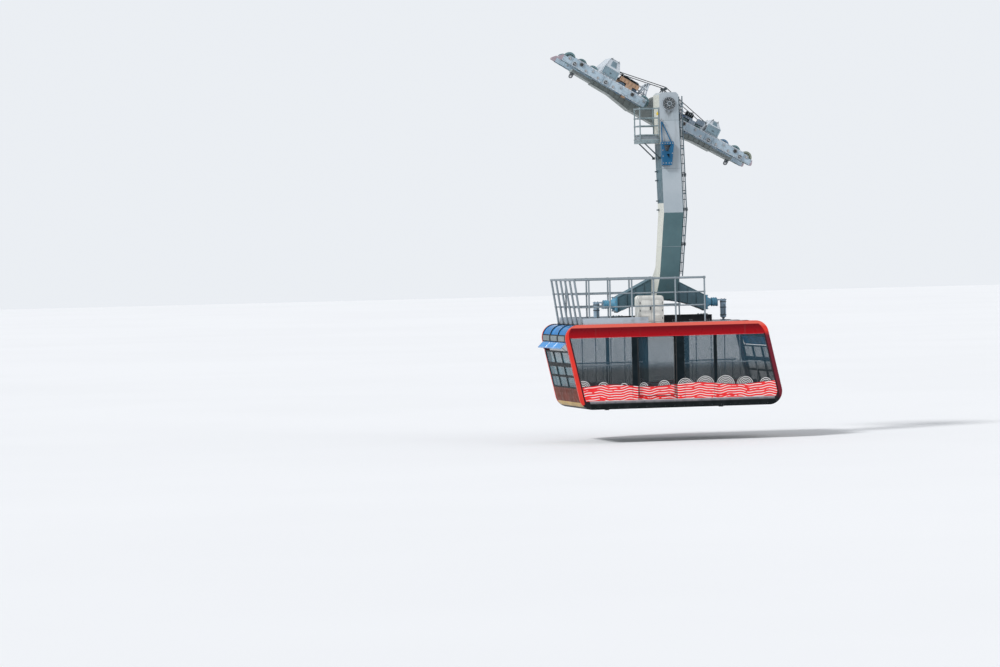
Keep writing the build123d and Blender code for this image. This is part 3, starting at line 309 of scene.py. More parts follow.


# name: (base colour, shade, dirt and painted shade in corners, streaks, roughness, grain, then metallic and
# clear coat if any)
PAINTS = {
    "plate_lilac": ((0.42, 0.52, 0.60), (0.31, 0.41, 0.49), 0.65, 0.35, 0.45, 26.0),
    "plate_white": ((0.53, 0.59, 0.65), (0.42, 0.48, 0.54), 0.55, 0.30, 0.45, 26.0),
    "wheel_teal": ((0.17, 0.29, 0.32), (0.11, 0.20, 0.22), 0.70, 0.20, 0.42, 34.0, 0.2),
    "wheel_blue": ((0.13, 0.25, 0.38), (0.09, 0.17, 0.27), 0.70, 0.20, 0.42, 34.0, 0.2),
    "wheel_olive": ((0.27, 0.30, 0.24), (0.19, 0.22, 0.18), 0.70, 0.20, 0.42, 34.0, 0.2),
    "beam_grey": ((0.30, 0.33, 0.32), (0.22, 0.25, 0.24), 0.70, 0.45, 0.50, 20.0),
    "black_enamel": ((0.006, 0.009, 0.011), (0.013, 0.017, 0.020), 0.15, 0.06, 0.42, 40.0),
    "nose_pink": ((0.42, 0.34, 0.38), (0.31, 0.26, 0.30), 0.60, 0.35, 0.50, 26.0),
    DARK: ((0.060, 0.075, 0.088), (0.10, 0.12, 0.13), 0.50, 0.20, 0.45, 30.0, 0.3),
    "bracket_blue": ((0.002, 0.105, 0.235), (0.002, 0.078, 0.178), 0.45, 0.20, 0.36, 26.0, 0.0, 0.1),
    "yoke_teal": ((0.088, 0.162, 0.200), (0.064, 0.122, 0.152), 0.50, 0.30, 0.45, 18.0),
    "buffer_blue": ((0.110, 0.310, 0.450), (0.082, 0.230, 0.340), 0.50, 0.25, 0.42, 24.0, 0.0, 0.05),
    "damper_grey": ((0.310, 0.420, 0.520), (0.235, 0.325, 0.410), 0.50, 0.25, 0.45, 22.0),
    "panel_crimson": ((0.155, 0.034, 0.020), (0.10, 0.028, 0.017), 0.30, 0.08, 0.50, 16.0),
    "bumper_ochre": ((0.56, 0.35, 0.06), (0.42, 0.25, 0.05), 0.45, 0.35, 0.40, 22.0, 0.0, 0.1),
    "cabinet_cream": ((0.82, 0.81, 0.76), (0.72, 0.72, 0.68), 0.30, 0.15, 0.42, 20.0),
    "roof_grey": ((0.34, 0.36, 0.38), (0.26, 0.28, 0.30), 0.55, 0.30, 0.52, 14.0),
    "transom_pale": ((0.13, 0.175, 0.185), (0.09, 0.13, 0.14), 0.30, 0.12, 0.20, 30.0, 0.0, 0.1),
    "carrier_black": ((0.016, 0.018, 0.021), (0.040, 0.043, 0.047), 0.30, 0.15, 0.48, 26.0),
    "under_grey": ((0.085, 0.095, 0.105), (0.055, 0.063, 0.07), 0.55, 0.35, 0.55, 20.0, 0.2),
    "gate_yellow": ((0.78, 0.56, 0.04), (0.60, 0.42, 0.05), 0.35, 0.15, 0.42, 30.0, 0.0, 0.1),
    "lip_red": ((0.70, 0.035, 0.050), (0.60, 0.030, 0.040), 0.20, 0.10, 0.35, 30.0, 0.0, 0.1),
    "rail_grey": ((0.82, 0.85, 0.87), (0.72, 0.75, 0.77), 0.30, 0.05, 0.35, 30.0),
    "hose_blue": ((0.020, 0.090, 0.26), (0.014, 0.060, 0.18), 0.35, 0.10, 0.38, 30.0, 0.0, 0.1),
    "sill_edge": ((0.56, 0.50, 0.50), (0.46, 0.42, 0.42), 0.35, 0.15, 0.35, 30.0, 0.1),
    "lamp_lens": ((0.78, 0.80, 0.80), (0.66, 0.68, 0.68), 0.10, 0.05, 0.30, 30.0),
}


def bare_metal(name, base, shade, rough, stretch=(1.0, 1.0, 1.0), metallic=0.85):
    """Machined or galvanised steel with spangle, brushing and dull patches."""
    graph = Graph(name, {"Metallic": metallic})
    cell = graph.add("ShaderNodeTexVoronoi", {"Vector": graph.stretch(stretch), "Scale": 38.0})
    tone = graph.mix(graph.ramp(cell.outputs["Distance"], 0.1, 0.7), base, shade)
    tone = graph.mix(graph.ramp(graph.noise(4.0), 0.55, 0.8, 0.0, 0.5), tone, shade)
    relief = graph.noise(170.0, 3.0, stretch)
    # Dirt and painted shade in its corners.
    return graph.finish(graph.soiled_and_shaded(tone, 0.10, 0.6), graph.patches(11.0, rough, rough + 0.22), relief, 0.1)


def rubber():
    graph = Graph(RUBBER)
    tone = graph.mottle(14.0, (0.018, 0.018, 0.018), (0.0468, 0.0468, 0.045), low=0.45, high=0.8)
    return graph.finish(tone, graph.patches(20.0, 0.55, 0.8, 4.0), graph.noise(220.0, 2.0), 0.2, 0.001)


def print_masks(graph):
    """Where the glass carries the red band and the white lines: waves in it and fans of arcs above it."""
    x, _, z = graph.axes()
    rise = z - BAND_FOOT
    top = (x * 2.1).sine() * 0.05 + BAND_HEIGHT
    red = graph.ramp(top - rise, 0.0, BAND_FADE)

    def stripes(phase, width):
        return graph.ramp(abs(phase.fract() - 0.5), width * 0.7, width, 1.0, 0.0)

    level = rise + (x * 5.3).sine() * 0.035 + (x * 13.0).sine() * 0.014
    broken = graph.ramp(graph.noise(3.4, 2.0, (1.0, 0.0, 2.2)), 0.38, 0.44)
    waves = stripes(level / WAVE_PITCH, 0.17) * broken * red

    sideways = ((x / ARC_REACH).fract() - 0.5) * ARC_REACH
    upward = rise - (BAND_HEIGHT - 0.06)
    distance = (sideways * sideways + upward * upward).root()
    limit = (x * 1.10).sine() * 0.09 + (ARC_REACH * 0.5 - 0.10)
    inside = graph.ramp(limit - distance, 0.0, 0.01)
    above = graph.ramp(rise - top, 0.0, BAND_FADE)
    arcs = stripes(distance / ARC_PITCH, 0.20) * inside * above
    return red, waves.larger(arcs)


def printed(graph, base):
    """The base colour under the printed film, and how much of the surface the film covers."""
    red, white = print_masks(graph)
    film = graph.mottle(5.0, (0.88, 0.026, 0.030), (0.78, 0.020, 0.024), 4.0, 0.3, 0.75)
    tone = graph.mix(white, graph.mix(red, base, film), (0.82, 0.80, 0.79))
    return tone, red.larger(white)


def tinted_glass(name, tint, solid, shine, upper=None, core=None):
    """Tinted safety glass, see-through by its alpha, with faint smears and dust.

    A pane with an upper tint turns to it towards the top, and carries the print. A pane with a core, how far
    out the middle of its thickness lies, has its tint on the outer face alone.
    """
    graph = Graph(name, {SHINE: shine})
    smear = graph.ramp(graph.noise(2.2, 6.0, (1.0, 1.0, 0.4)), 0.45, 0.8)
    tone = graph.mix(smear, tint, tuple(part * 1.7 + 0.01 for part in tint))
    cover = graph.ramp(smear, 0.0, 1.0, solid, min(solid + 0.09, 1.0))
    if upper:
        rise = graph.ramp(graph.axes()[2], BAND_FOOT + 0.95, BAND_FOOT + 1.30)
        tone, film = printed(graph, graph.mix(rise, tone, upper))
        cover = (cover - rise * 0.23).larger(film)
        rough = graph.ramp(film, 0.0, 1.0, 0.04, 0.32)
    else:
        rough = graph.ramp(smear, 0.0, 1.0, 0.03, 0.12)
    if core:
        x, y, z = graph.axes()
        out = abs(y if upper else x + (z - WALL_MIDDLE) * END_LEAN)
        cover = cover * graph.ramp(out, core - 0.004, core + 0.004)
    graph.put(cover, graph.shader.inputs["Alpha"])
    return graph.finish(tone, rough, graph.noise(1.3, 2.0), 0.03, 0.004)


def printed_black():
    """Black enamelled posts and door frames, with the printed film carried across them."""
    graph = Graph("posts_printed", {SHINE: 0.05})
    base = graph.mottle(4.0, (0.005, 0.010, 0.013), (0.010, 0.017, 0.022), 5.0, 0.4, 0.75)
    tone, film = printed(graph, base)
    tone = graph.mix(graph.ramp(abs(graph.normal()[1]), 0.8, 0.95), base, tone)
    return graph.finish(tone, graph.ramp(film, 0.0, 1.0, 0.30, 0.40), graph.noise(60.0, 2.0), 0.03)


def hoop_red():
    """Gloss red sides: a painted sunlit highlight along the top rim, painted shade deepening the downhill
    member, a crimson fascia with painted shade darkening it towards the rim, an inner band in the fascia's
    tone that is partly painted shade of the recess, and black feet.
    """
    graph = Graph("hoop_red", {SHINE: 0.12})
    x, _, z = graph.axes()
    foot, top = (corner.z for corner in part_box("near_side_frame"))
    rim, fascia_foot = top - RIM_WIDTH, top - FASCIA_DEPTH
    reach = abs(x + (z - (foot + top) / 2) * END_LEAN)
    drop = (z - (top - CORNER_RADIUS)).larger(0.0)
    round_off = CORNER_RADIUS - (CORNER_RADIUS ** 2 - drop * drop).root()
    border = (END_REACH - RIM_WIDTH) - round_off - reach
    flat = graph.ramp(abs(graph.normal()[1]), 0.7, 0.95)
    inner = graph.ramp(z, rim, rim + 0.015, 1.0, 0.0) * graph.ramp(border, 0.0, 0.015) * flat
    tone = graph.mottle(1.6, (0.74, 0.045, 0.032), (0.64, 0.038, 0.028))
    # Painted highlight: the top rim is lit orange-red.
    tone = graph.mix(graph.ramp(z, rim - 0.10, rim + 0.03), tone, (0.76, 0.135, 0.100))
    # Painted shade: the downhill member darkens below the top corner.
    downhill = graph.ramp(z, top - 0.55, top - 0.30, 1.0, 0.0) * graph.ramp(x, -0.2, 0.2)
    tone = graph.mix(downhill, tone, (0.15, 0.014, 0.026))
    # Painted shade: the fascia darkens upwards towards the rim.
    fascia = graph.mix(graph.ramp(z, fascia_foot, rim), (0.34, 0.001, 0.006), (0.15, 0.001, 0.006))
    fascia = graph.mix(graph.ramp(z, fascia_foot - 0.01, fascia_foot), (0.035, 0.008, 0.014), fascia)
    # The inner band takes the fascia's tone: a deep band that is partly painted shade of the recess.
    tone = graph.streaked(graph.mix(inner, tone, fascia), 3.5, (2.4, 2.4, 0.2), 0.58, 0.8, 0.15)
    black = graph.ramp(z + (END_REACH - reach) * -0.55, foot + 0.10, foot + 0.14, 1.0, 0.0)
    # Dirt and painted shade in the corners.
    tone = graph.soiled_and_shaded(graph.mix(black, tone, (0.012, 0.013, 0.015)), 0.08, 0.35)
    return graph.finish(tone, graph.patches(7.0, 0.26, 0.40, 4.0), graph.noise(60.0, 2.0), 0.03)


def sill_paint():
    """Black sills with a worn pale strip along their upper edge."""
    graph = Graph("sill_black", {SHINE: 0.05})
    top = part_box("side_sills")[1].z
    base = graph.mottle(4.0, (0.007, 0.010, 0.011), (0.016, 0.019, 0.021), 5.0, 0.4, 0.75)
    worn = graph.mottle(5.0, (0.27, 0.25, 0.27), (0.17, 0.17, 0.19), 5.0, 0.3, 0.7, (1.0, 1.0, 0.4))
    tone = graph.mix(graph.ramp(graph.axes()[2], top - 0.100, top - 0.025), base, worn)
    return graph.finish(tone, graph.patches(8.0, 0.38, 0.55), graph.noise(120.0, 3.0), 0.08)


def column_paint():
    """Pale lilac hanger paint with painted light: a painted sunlit cream on the faces turned uphill, a
    painted shadow of the platform down the uphill face, and painted shade, darker and cooler, on the
    underside slope; with a grease run below the pin.
    """
    graph = Graph("column_paint")
    x, _, z = graph.axes()
    normal_x, normal_y, normal_z = graph.normal()
    pale = graph.mottle(1.1, (0.375, 0.425, 0.465), (0.32, 0.375, 0.415))
    # Painted sunlight: the faces turned uphill get a lit cream.
    sunlit_cream = graph.mottle(1.4, (0.57, 0.58, 0.52), (0.49, 0.50, 0.46))
    # Painted shadow of the platform, on the uphill face below it.
    dark = graph.mottle(1.2, (0.042, 0.098, 0.125), (0.032, 0.075, 0.098))
    # Painted shade on the front faces that lean downwards.
    underside_shade = graph.mottle(1.0, (0.072, 0.152, 0.170), (0.055, 0.122, 0.140))
    side = graph.ramp(normal_x, -0.9, -0.6, 1.0, 0.0)
    shade = graph.ramp(z, -2.86, -2.84) * graph.ramp(z, -0.88, -0.86, 1.0, 0.0)
    tone = graph.mix(shade * side, graph.mix(side, pale, sunlit_cream), dark)
    under = graph.ramp(normal_z, -0.28, -0.22, 1.0, 0.0) * graph.ramp(normal_y, -0.8, -0.6, 1.0, 0.0)
    tone = graph.mix(under, tone, underside_shade)
    fall = graph.ramp(z, PIN.z - 0.62, PIN.z - 0.15)
    stain = fall * graph.ramp(abs(x), 0.05, 0.21, 1.0, 0.0) * graph.ramp(z, PIN.z - 0.1, PIN.z, 1.0, 0.0)
    stain = stain * graph.ramp(graph.noise(7.0, 6.0, (1.5, 1.5, 0.5)), 0.35, 0.6)
    tone = graph.mix(stain * 0.9, tone, (0.03, 0.03, 0.03))
    # Dirt and painted shade in the corners.
    tone = graph.soiled_and_shaded(graph.streaked(tone, 3.0, (2.2, 2.2, 0.16), 0.55, 0.8, 0.25), 0.2, 0.5)
    return graph.finish(tone, graph.patches(6.0, 0.38, 0.55), graph.noise(120.0, 3.0), 0.1)


def housing_paint():
    """Grey covers: pale on their sloping flanks and a bluer, darker grey on the upright ones, painted light
    and shade by which way the faces turn.
    """
    graph = Graph("housing_grey", {SHINE: 0.3})
    flank = graph.mottle(2.0, (0.205, 0.295, 0.350), (0.165, 0.245, 0.295))
    pale = graph.mottle(1.7, (0.55, 0.60, 0.65), (0.47, 0.52, 0.58))
    # Painted light and shade: upright faces take the darker blue-grey, sloping faces the pale grey.
    tone = graph.mix(graph.ramp(abs(graph.normal()[1]), 0.80, 0.97), pale, flank)
    return weathered(graph, tone, tone, 0.45, 0.22, 0.42, 24.0)


def brake_paint():
    """Rope brakes: worn copper primer on the uphill pair, blue-grey on the downhill pair as painted shade."""
    graph = Graph("brake_copper", {SHINE: 0.3})
    copper = graph.mottle(3.0, (0.50, 0.31, 0.19), (0.36, 0.23, 0.15))
    steel = graph.mottle(3.0, (0.24, 0.31, 0.38), (0.17, 0.23, 0.30))
    # Painted shade: the downhill pair turns blue-grey.
    tone = graph.mix(graph.ramp(graph.axes()[0], -0.05, 0.05), copper, steel)
    return weathered(graph, tone, tone, 0.65, 0.30, 0.50, 32.0)


def platform_paint():
    """The platform's galvanised rails and floor, and a dark blue-grey below the floor's level."""
    graph = Graph("platform_steel", {"Metallic": 0.5, SHINE: 0.3})
    above = graph.ramp(graph.axes()[2], PLATFORM_FLOOR - 0.136, PLATFORM_FLOOR - 0.130)
    zinc = graph.mottle(9.0, (0.24, 0.31, 0.33), (0.17, 0.22, 0.24))
    # Darker blue-grey below the floor's level.
    tone = graph.mix(above, (0.055, 0.085, 0.10), zinc)
    return weathered(graph, tone, tone, 0.5, 0.2, 0.45, 32.0)


def tread_plate(name, base, shade):
    """Chequered aluminium plate: crossed lozenges in relief, worn bright, dirt between them."""
    graph = Graph(name, {"Metallic": 0.4})
    x, y, _ = graph.axes()
    lozenge = graph.ramp(((x + y) * 95.0).sine() * ((x - y) * 95.0).sine(), 0.25, 0.5)
    dirt = graph.ramp(graph.noise(2.0), 0.5, 0.75, 0.0, 0.5)
    tone = graph.mix(dirt, graph.mix(lozenge, shade, base), DIRT_AND_SHADE)
    return graph.finish(tone, graph.ramp(lozenge, 0.0, 1.0, 0.6, 0.35), lozenge, 0.5, 0.003)


def grating():
    """Open steel grating on the service platform, drawn as dark meshes between bearing bars: the openings are
    painted shade, near-black.
    """
    graph = Graph("grating", {"Metallic": 0.7})
    x, y, _ = graph.axes()

    def bars(value, pitch, width):
        return graph.ramp(abs((value / pitch).fract() - 0.5), width, width + 0.04)

    flat = graph.ramp(abs(graph.normal()[2]), 0.8, 0.95)
    solid = bars(x, 0.034, 0.36).larger(bars(y, 0.1, 0.43)).larger(1.0 - flat)
    steel = graph.mottle(8.0, (0.47, 0.49, 0.50), (0.36, 0.38, 0.39))
    # Painted shade: the openings between the bars are near-black.
    tone = graph.mix(solid, (0.05, 0.05, 0.05), steel)
    return graph.finish(tone, graph.patches(11.0, 0.38, 0.6), solid, 0.6, 0.006)


def make_materials():
    for name, row in PAINTS.items():
        paint(name, *row)
    for look in (housing_paint, brake_paint, platform_paint, hoop_red, sill_paint, column_paint,
                 printed_black, rubber, grating):
        look()
    bare_metal(STEEL, (0.50, 0.50, 0.51), (0.36, 0.36, 0.37), 0.26)
    bare_metal("galvanised", (0.28, 0.33, 0.36), (0.21, 0.25, 0.28), 0.42, metallic=0.35)
    bare_metal("ladder_steel", (0.17, 0.22, 0.25), (0.11, 0.15, 0.17), 0.42)
    bare_metal("stainless", (0.62, 0.63, 0.64), (0.52, 0.53, 0.54), 0.2, (1.0, 1.0, 0.1))
    for name, core in (("side_glass", 1.733), ("door_glass", 1.642)):
        tinted_glass(name, (0.008, 0.017, 0.022), 0.78, 0.3, (0.022, 0.070, 0.107), core)
    tinted_glass("end_glass", (0.030, 0.119, 0.157), 0.65, 0.1, core=END_CORE)
    tinted_glass("eaves_glass", (0.008, 0.175, 0.46), 0.92, 0.02)
    tinted_glass("flap_glass", (0.025, 0.275, 0.68), 0.92, 0.02)
    tread_plate("deck_plate", (0.47, 0.53, 0.59), (0.34, 0.39, 0.44))
    tread_plate("floor_plate", (0.17, 0.18, 0.19), (0.08, 0.085, 0.09))


# material: the CAD nodes that have it
FINISHES = {
    "plate_lilac": "truck_frames end_bogies", STEEL: "rocker_pins hanger_pin", "beam_grey": "carriage_beam",
    "housing_grey": "brake_housings", "brake_copper": "rope_brakes", "nose_pink": "rope_scrapers",
    "black_enamel": "brake_cylinders end_frames eaves_frames", DARK: "haul_rope_lugs bearing_cover",
    "column_paint": "hanger_column", "platform_steel": "service_platform", "bracket_blue": "lift_bracket",
    "ladder_steel": "hanger_ladder", "yoke_teal": "yoke", "buffer_blue": "yoke_buffers",
    "damper_grey": "roof_dampers", "hoop_red": "near_side_frame far_side_frame", "sill_black": "side_sills",
    "posts_printed": "side_posts near_door far_door", "side_glass": "near_side_windows far_side_windows",
    "door_glass": "near_door_window far_door_window", "stainless": "door_tracks grab_poles",
    "end_glass": "end_windows", "eaves_glass": "eaves_windows", "flap_glass": "vent_flaps",
    "panel_crimson": "end_panels", "bumper_ochre": "end_bumpers", "roof_grey": "cabin_roof",
    "floor_plate": "cabin_floor", "under_grey": "underframe", "rail_grey": "handrails",
    "deck_plate": "balcony_deck", "galvanised": "balcony_posts balcony_railing",
    "carrier_black": "roof_carrier", "cabinet_cream": "roof_cabinet",
    "wheel_olive": "wheelset_lower_1", "wheel_blue": "wheelset_lower_3 wheelset_upper_4 wheelset_upper_5",
}
NODE_FINISH = {node: material for material, nodes in FINISHES.items() for node in nodes.split()}


def finish_of(name):
    """A node's material. The wheels not listed are teal: wheels have been swapped over the years."""
    return NODE_FINISH.get(name, "wheel_teal")


def finish_nodes():
    for name, node in frame["nodes"].items():
        node.data.materials.clear()
        node.data.materials.append(materials[finish_of(name)])


def set_camera():
    """Puts the camera where the photograph was taken from, by the pin's place, the scale and the horizon."""
    anchor = Vector((0.0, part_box("bearing_cover")[0].y, PIN.z))
    toward = Vector((math.sin(PHOTO_AZIMUTH), -math.cos(PHOTO_AZIMUTH), 0.0))
    eye = anchor + FOCAL_PX / PX_PER_METRE * toward
    eye.z = anchor.z - (HORIZON_PX - PIN_PX[1]) / PX_PER_METRE
    right, down = PIN_PX[0] - PHOTO_WIDTH / 2, PIN_PX[1] - PHOTO_HEIGHT / 2
    cosine, sine = math.cos(PHOTO_ROLL), math.sin(PHOTO_ROLL)
    ray = Vector((right * cosine - down * sine, -(right * sine + down * cosine), -FOCAL_PX))
    line = anchor - eye
    rise = math.atan2(line.z, math.hypot(line.x, line.y))
    pitch = 0.0
    for _ in range(8):
        seen = Matrix.Rotation(math.pi / 2 + pitch, 3, "X") @ ray
        pitch += rise - math.atan2(seen.z, math.hypot(seen.x, seen.y))
    seen = Matrix.Rotation(math.pi / 2 + pitch, 3, "X") @ ray
    yaw = math.atan2(line.y, line.x) - math.atan2(seen.y, seen.x)
    data = bpy.data.cameras.new("camera")
    data.sensor_width = SENSOR
    data.lens = SENSOR * FOCAL_PX / PHOTO_WIDTH
    data.clip_start, data.clip_end = 1.0, 3000.0
    camera = bpy.data.objects.new("camera", data)
    bpy.context.scene.collection.objects.link(camera)
    turn = Matrix.Rotation(yaw, 4, "Z") @ Matrix.Rotation(math.pi / 2 + pitch, 4, "X")
    camera.matrix_world = Matrix.Translation(eye) @ turn @ Matrix.Rotation(-PHOTO_ROLL, 4, "Z")
    bpy.context.scene.camera = camera


def set_stage():
    """A pale floor below the cabin, a soft key from the uphill side, a faint fill and an even sky."""
    scene = bpy.context.scene
    scene.view_settings.view_transform = "Standard"
    mesh = bpy.data.meshes.new("floor")
    square = ((-1, -1), (1, -1), (1, 1), (-1, 1))
    corners = [(x * FLOOR_HALF, y * FLOOR_HALF, cad_low.z - FLOOR_DROP) for x, y in square]
    mesh.from_pydata(corners, [], [(0, 1, 2, 3)])
    floor = bpy.data.objects.new("floor", mesh)
    scene.collection.objects.link(floor)
    graph = Graph("floor_pale", {"Roughness": 0.9})
    tone = graph.mottle(0.05, (0.90, 0.91, 0.93), (0.88, 0.89, 0.91), 3.0, 0.3)
    graph.put(tone, graph.shader.inputs["Base Color"])
    hidden = graph.add("ShaderNodeBsdfTransparent").outputs[0]
    from_below = graph.add("ShaderNodeNewGeometry").outputs["Backfacing"]
    blend = graph.add("ShaderNodeMixShader", {0: from_below, 1: graph.shader.outputs[0], 2: hidden})
    graph.put(blend.outputs[0], graph.tree.nodes["Material Output"].inputs["Surface"])
    mesh.materials.append(graph.owner)

    for name, (direction, energy, angle) in SUNS.items():
        data = bpy.data.lights.new(name, "SUN")
        data.energy = energy
        data.angle = math.radians(angle)
        lamp = bpy.data.objects.new(name, data)
        lamp.rotation_mode = "QUATERNION"
        lamp.rotation_quaternion = Vector(direction).to_track_quat("Z", "Y")
        scene.collection.objects.link(lamp)

    sky = Graph("sky", owner=bpy.data.worlds.new("sky"))
    scene.world = sky.owner
    plain = sky.tree.nodes["Background"]
    sky.put(rgba(SKY), plain.inputs["Color"])
    sky.put(SKY_STRENGTH, plain.inputs["Strength"])
    seen = sky.add("ShaderNodeBackground", {"Color": rgba(BACKDROP), "Strength": 1.0})
    path = sky.add("ShaderNodeLightPath")
    share = Value(sky, path.outputs["Is Camera Ray"])
    for ray in ("Is Glossy Ray", "Is Transmission Ray"):
        share = share.larger(path.outputs[ray])
    blend = sky.add("ShaderNodeMixShader", {0: share, 1: plain.outputs[0], 2: seen.outputs[0]})
    sky.put(blend.outputs[0], sky.tree.nodes["World Output"].inputs["Surface"])


def spread(low, high, count):
    return [low + (high - low) * number / (count - 1) for number in range(count)]


def grid(*rows):
    """The points of a grid, from its X, Y and Z values. Each is one number or several."""
    return list(product(*(row if isinstance(row, (tuple, list)) else (row,) for row in rows)))


def circle(centre, axis, radius, count, phase=0.0, rise=0.0):
    """Points evenly round an axis."""
    centre, turn = Vector(centre), Vector(axis).to_track_quat("Z", "Y")
    angles = [2 * math.pi * number / count + phase for number in range(count)]
    return [centre + turn @ Vector((radius * math.cos(a), radius * math.sin(a), rise)) for a in angles]


class Parts:
    """Small pieces of one material on one body, gathered into one mesh."""

    def __init__(self, name, material, body):
        self.name, self.material, self.body = name, material, body
        self.basis, self.points, self.faces = Matrix(), [], []

    def solid(self, points, faces):
        base = len(self.points)
        self.points += [tuple(self.basis @ Vector(point)) for point in points]
        self.faces += [[base + index for index in face] for face in faces]

    def box(self, low, high):
        faces = ((0, 1, 3, 2), (4, 6, 7, 5), (0, 4, 5, 1), (2, 3, 7, 6), (0, 2, 6, 4), (1, 5, 7, 3))
        self.solid(grid(*zip(low, high)), faces)

    def block(self, centre, half):
        """A box from its middle and half sizes."""
        self.box(Vector(centre) - Vector(half), Vector(centre) + Vector(half))

    def prism(self, foot, head):
        """The solid between two outlines of as many points."""
        count = len(foot)
        faces = [(n, (n + 1) % count, count + (n + 1) % count, count + n) for n in range(count)]
        self.solid(foot + head, faces + [tuple(reversed(range(count))), tuple(range(count, 2 * count))])

    def plate(self, outline, thickness):
        """A flat polygon given a thickness along a vector."""
        outline = [Vector(point) for point in outline]
        self.prism(outline, [point + Vector(thickness) for point in outline])

    def rod(self, start, end, radius, sides=16):
        start, end = Vector(start), Vector(end)
        self.prism(*(circle(place, end - start, radius, sides, math.pi / sides) for place in (start, end)))

    def pin(self, centre, half, radius, sides=16):
        """A rod from its middle and half its length, as a vector."""
        self.rod(Vector(centre) - Vector(half), Vector(centre) + Vector(half), radius, sides)

    def stack(self, foot, axis, *drums):
        """Rods along an axis: each from one height to another, its radius and its sides."""
        for low, high, radius, sides in drums:
            self.rod(Vector(foot) + Vector(axis) * low, Vector(foot) + Vector(axis) * high, radius, sides)

    def bolt(self, place, axis, size):
        """A hexagon head on its washer; size is across the head's corners."""
        self.stack(place, Vector(axis).normalized(), (-0.004, size * 0.12, size * 0.72, 14),
                   (0, size * 0.62, size / 2, 6), (0, size * 0.85, size * 0.26, 8))

    def bolts(self, places, axis, size):
        for place in places:
            self.bolt(place, axis, size)

    def bolt_circle(self, centre, axis, radius, count, size, phase=0.0):
        self.bolts(circle(centre, axis, radius, count, phase), axis, size)

    def tube(self, points, radius, sides=10, closed=False, phase=0.0):
        """A bar bent along the points, mitred at each of them."""
        points = [Vector(point) for point in points]
        count = len(points)
        if closed:
            lines = [(points[(n + 1) % count] - points[n]).normalized() for n in range(count)]
            before = lines[-1:] + lines[:-1]
        else:
            lines = [(points[n + 1] - points[n]).normalized() for n in range(count - 1)]
            lines, before = lines + lines[-1:], lines[:1] + lines
        side = lines[0].orthogonal().normalized()
        rings = []
        for point, line, last in zip(points, lines, before):
            bisector = (line + last).normalized()
            side = (side - side.dot(last) * last).normalized()
            up = last.cross(side)
            for number in range(sides):
                angle = 2 * math.pi * number / sides + phase
                offset = (side * math.cos(angle) + up * math.sin(angle)) * radius
                along = -offset.dot(bisector) / max(last.dot(bisector), 0.3)
                rings.append(point + offset + last * along)
        faces = []
        for ring, number in product(range(count if closed else count - 1), range(sides)):
            here, after, turn = ring * sides, (ring + 1) % count * sides, (number + 1) % sides
            faces.append((here + number, here + turn, after + turn, after + number))
        if not closed:
            faces += [tuple(reversed(range(sides))), tuple((count - 1) * sides + n for n in range(sides))]
        self.solid(rings, faces)

    def bar(self, points, radius, closed=False):
        """A square tube; radius is to its corners."""
        self.tube(points, radius, 4, closed, math.pi / 4)

    def ring(self, centre, axis, radius, thickness, segments):
        self.tube(circle(centre, axis, radius, segments), thickness, 8, True)

    def annulus(self, centre, axis, inner, outer, height, segments=36):
        """A flat ring that stands up from its centre along the axis."""
        points = []
        for reach, rise in ((inner, 0), (outer, 0), (outer, height), (inner, height)):
            points += circle(centre, axis, reach, segments, rise=rise)
        faces = []
        for row, number in product(range(4), range(segments)):
            a, b = row * segments + number, row * segments + (number + 1) % segments
            faces.append((a, b, (b + segments) % len(points), (a + segments) % len(points)))
        self.solid(points, faces)

    def spokes(self, centre, inner, outer, radius, phase=0.0):
        """Eight square rods round a hub that lies across the car."""
        for number in range(8):
            angle = math.pi * (number + phase) / 4
            reach = Vector((math.cos(angle), 0, math.sin(angle)))
            self.rod(Vector(centre) + reach * inner, Vector(centre) + reach * outer, radius, 4)

    def make(self):
        mesh = bpy.data.meshes.new(self.name)
        mesh.from_pydata(self.points, [], self.faces)
        mesh.materials.append(materials[self.material])
        shape = bmesh.new()
        shape.from_mesh(mesh)
        bmesh.ops.recalc_face_normals(shape, faces=shape.faces)
        shape.to_mesh(mesh)
        shape.free()
        mesh.polygons.foreach_set("use_smooth", [True] * len(mesh.polygons))
        mesh.set_sharp_from_angle(angle=math.radians(35))
        piece = bpy.data.objects.new(self.name, mesh)
        bpy.context.scene.collection.objects.link(piece)
        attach(piece, self.body)


def face_loops(name, direction):
    """The closed outlines of a node's flat faces that look in one direction and lie furthest that way."""
    mesh = frame["nodes"][name].data
    flat = [face for face in mesh.polygons if face.normal.dot(direction) > 0.999]
    reaches = [mesh.vertices[face.vertices[0]].co.dot(direction) for face in flat]
    spots = {}
    key = [spots.setdefault(tuple(round(part, 5) for part in vertex.co), vertex.index)
           for vertex in mesh.vertices]
    used, nearest = {}, max(reaches) - 0.02
    for face, reach in zip(flat, reaches):
        if reach >= nearest:
            ring = [key[index] for index in face.vertices]
            used.update(dict.fromkeys(zip(ring, ring[1:] + ring[:1])))
    after = {a: b for a, b in used if (b, a) not in used}
    loops = []
    while after:
        start, here = next(iter(after.items()))
        del after[start]
        loop = [start]
        while here in after:
            loop.append(here)
            here = after.pop(here)
        loops.append([mesh.vertices[index].co.copy() for index in loop])
    return loops


def thin_out(loop):
    """Drops the points of a loop where it runs straight on."""
    kept = []
    for number, point in enumerate(loop):
        back, on = point - loop[number - 1], loop[(number + 1) % len(loop)] - point
        if back.length > 1e-5 and on.length > 1e-5 and math.degrees(back.angle(on)) > 1.0:
            kept.append(point)
    return kept


def gasket(name, node, direction, width, lift):
    """A square rubber profile round every outline of a node's outer faces."""
    direction = Vector(direction)
    seal = Parts(name, RUBBER, frame["nodes"][node]["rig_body"])
    for loop in map(thin_out, face_loops(node, direction)):
        if len(loop) > 3:
            seal.bar([point + direction * lift for point in loop], width * 0.707, True)
    seal.make()


KITS = {}


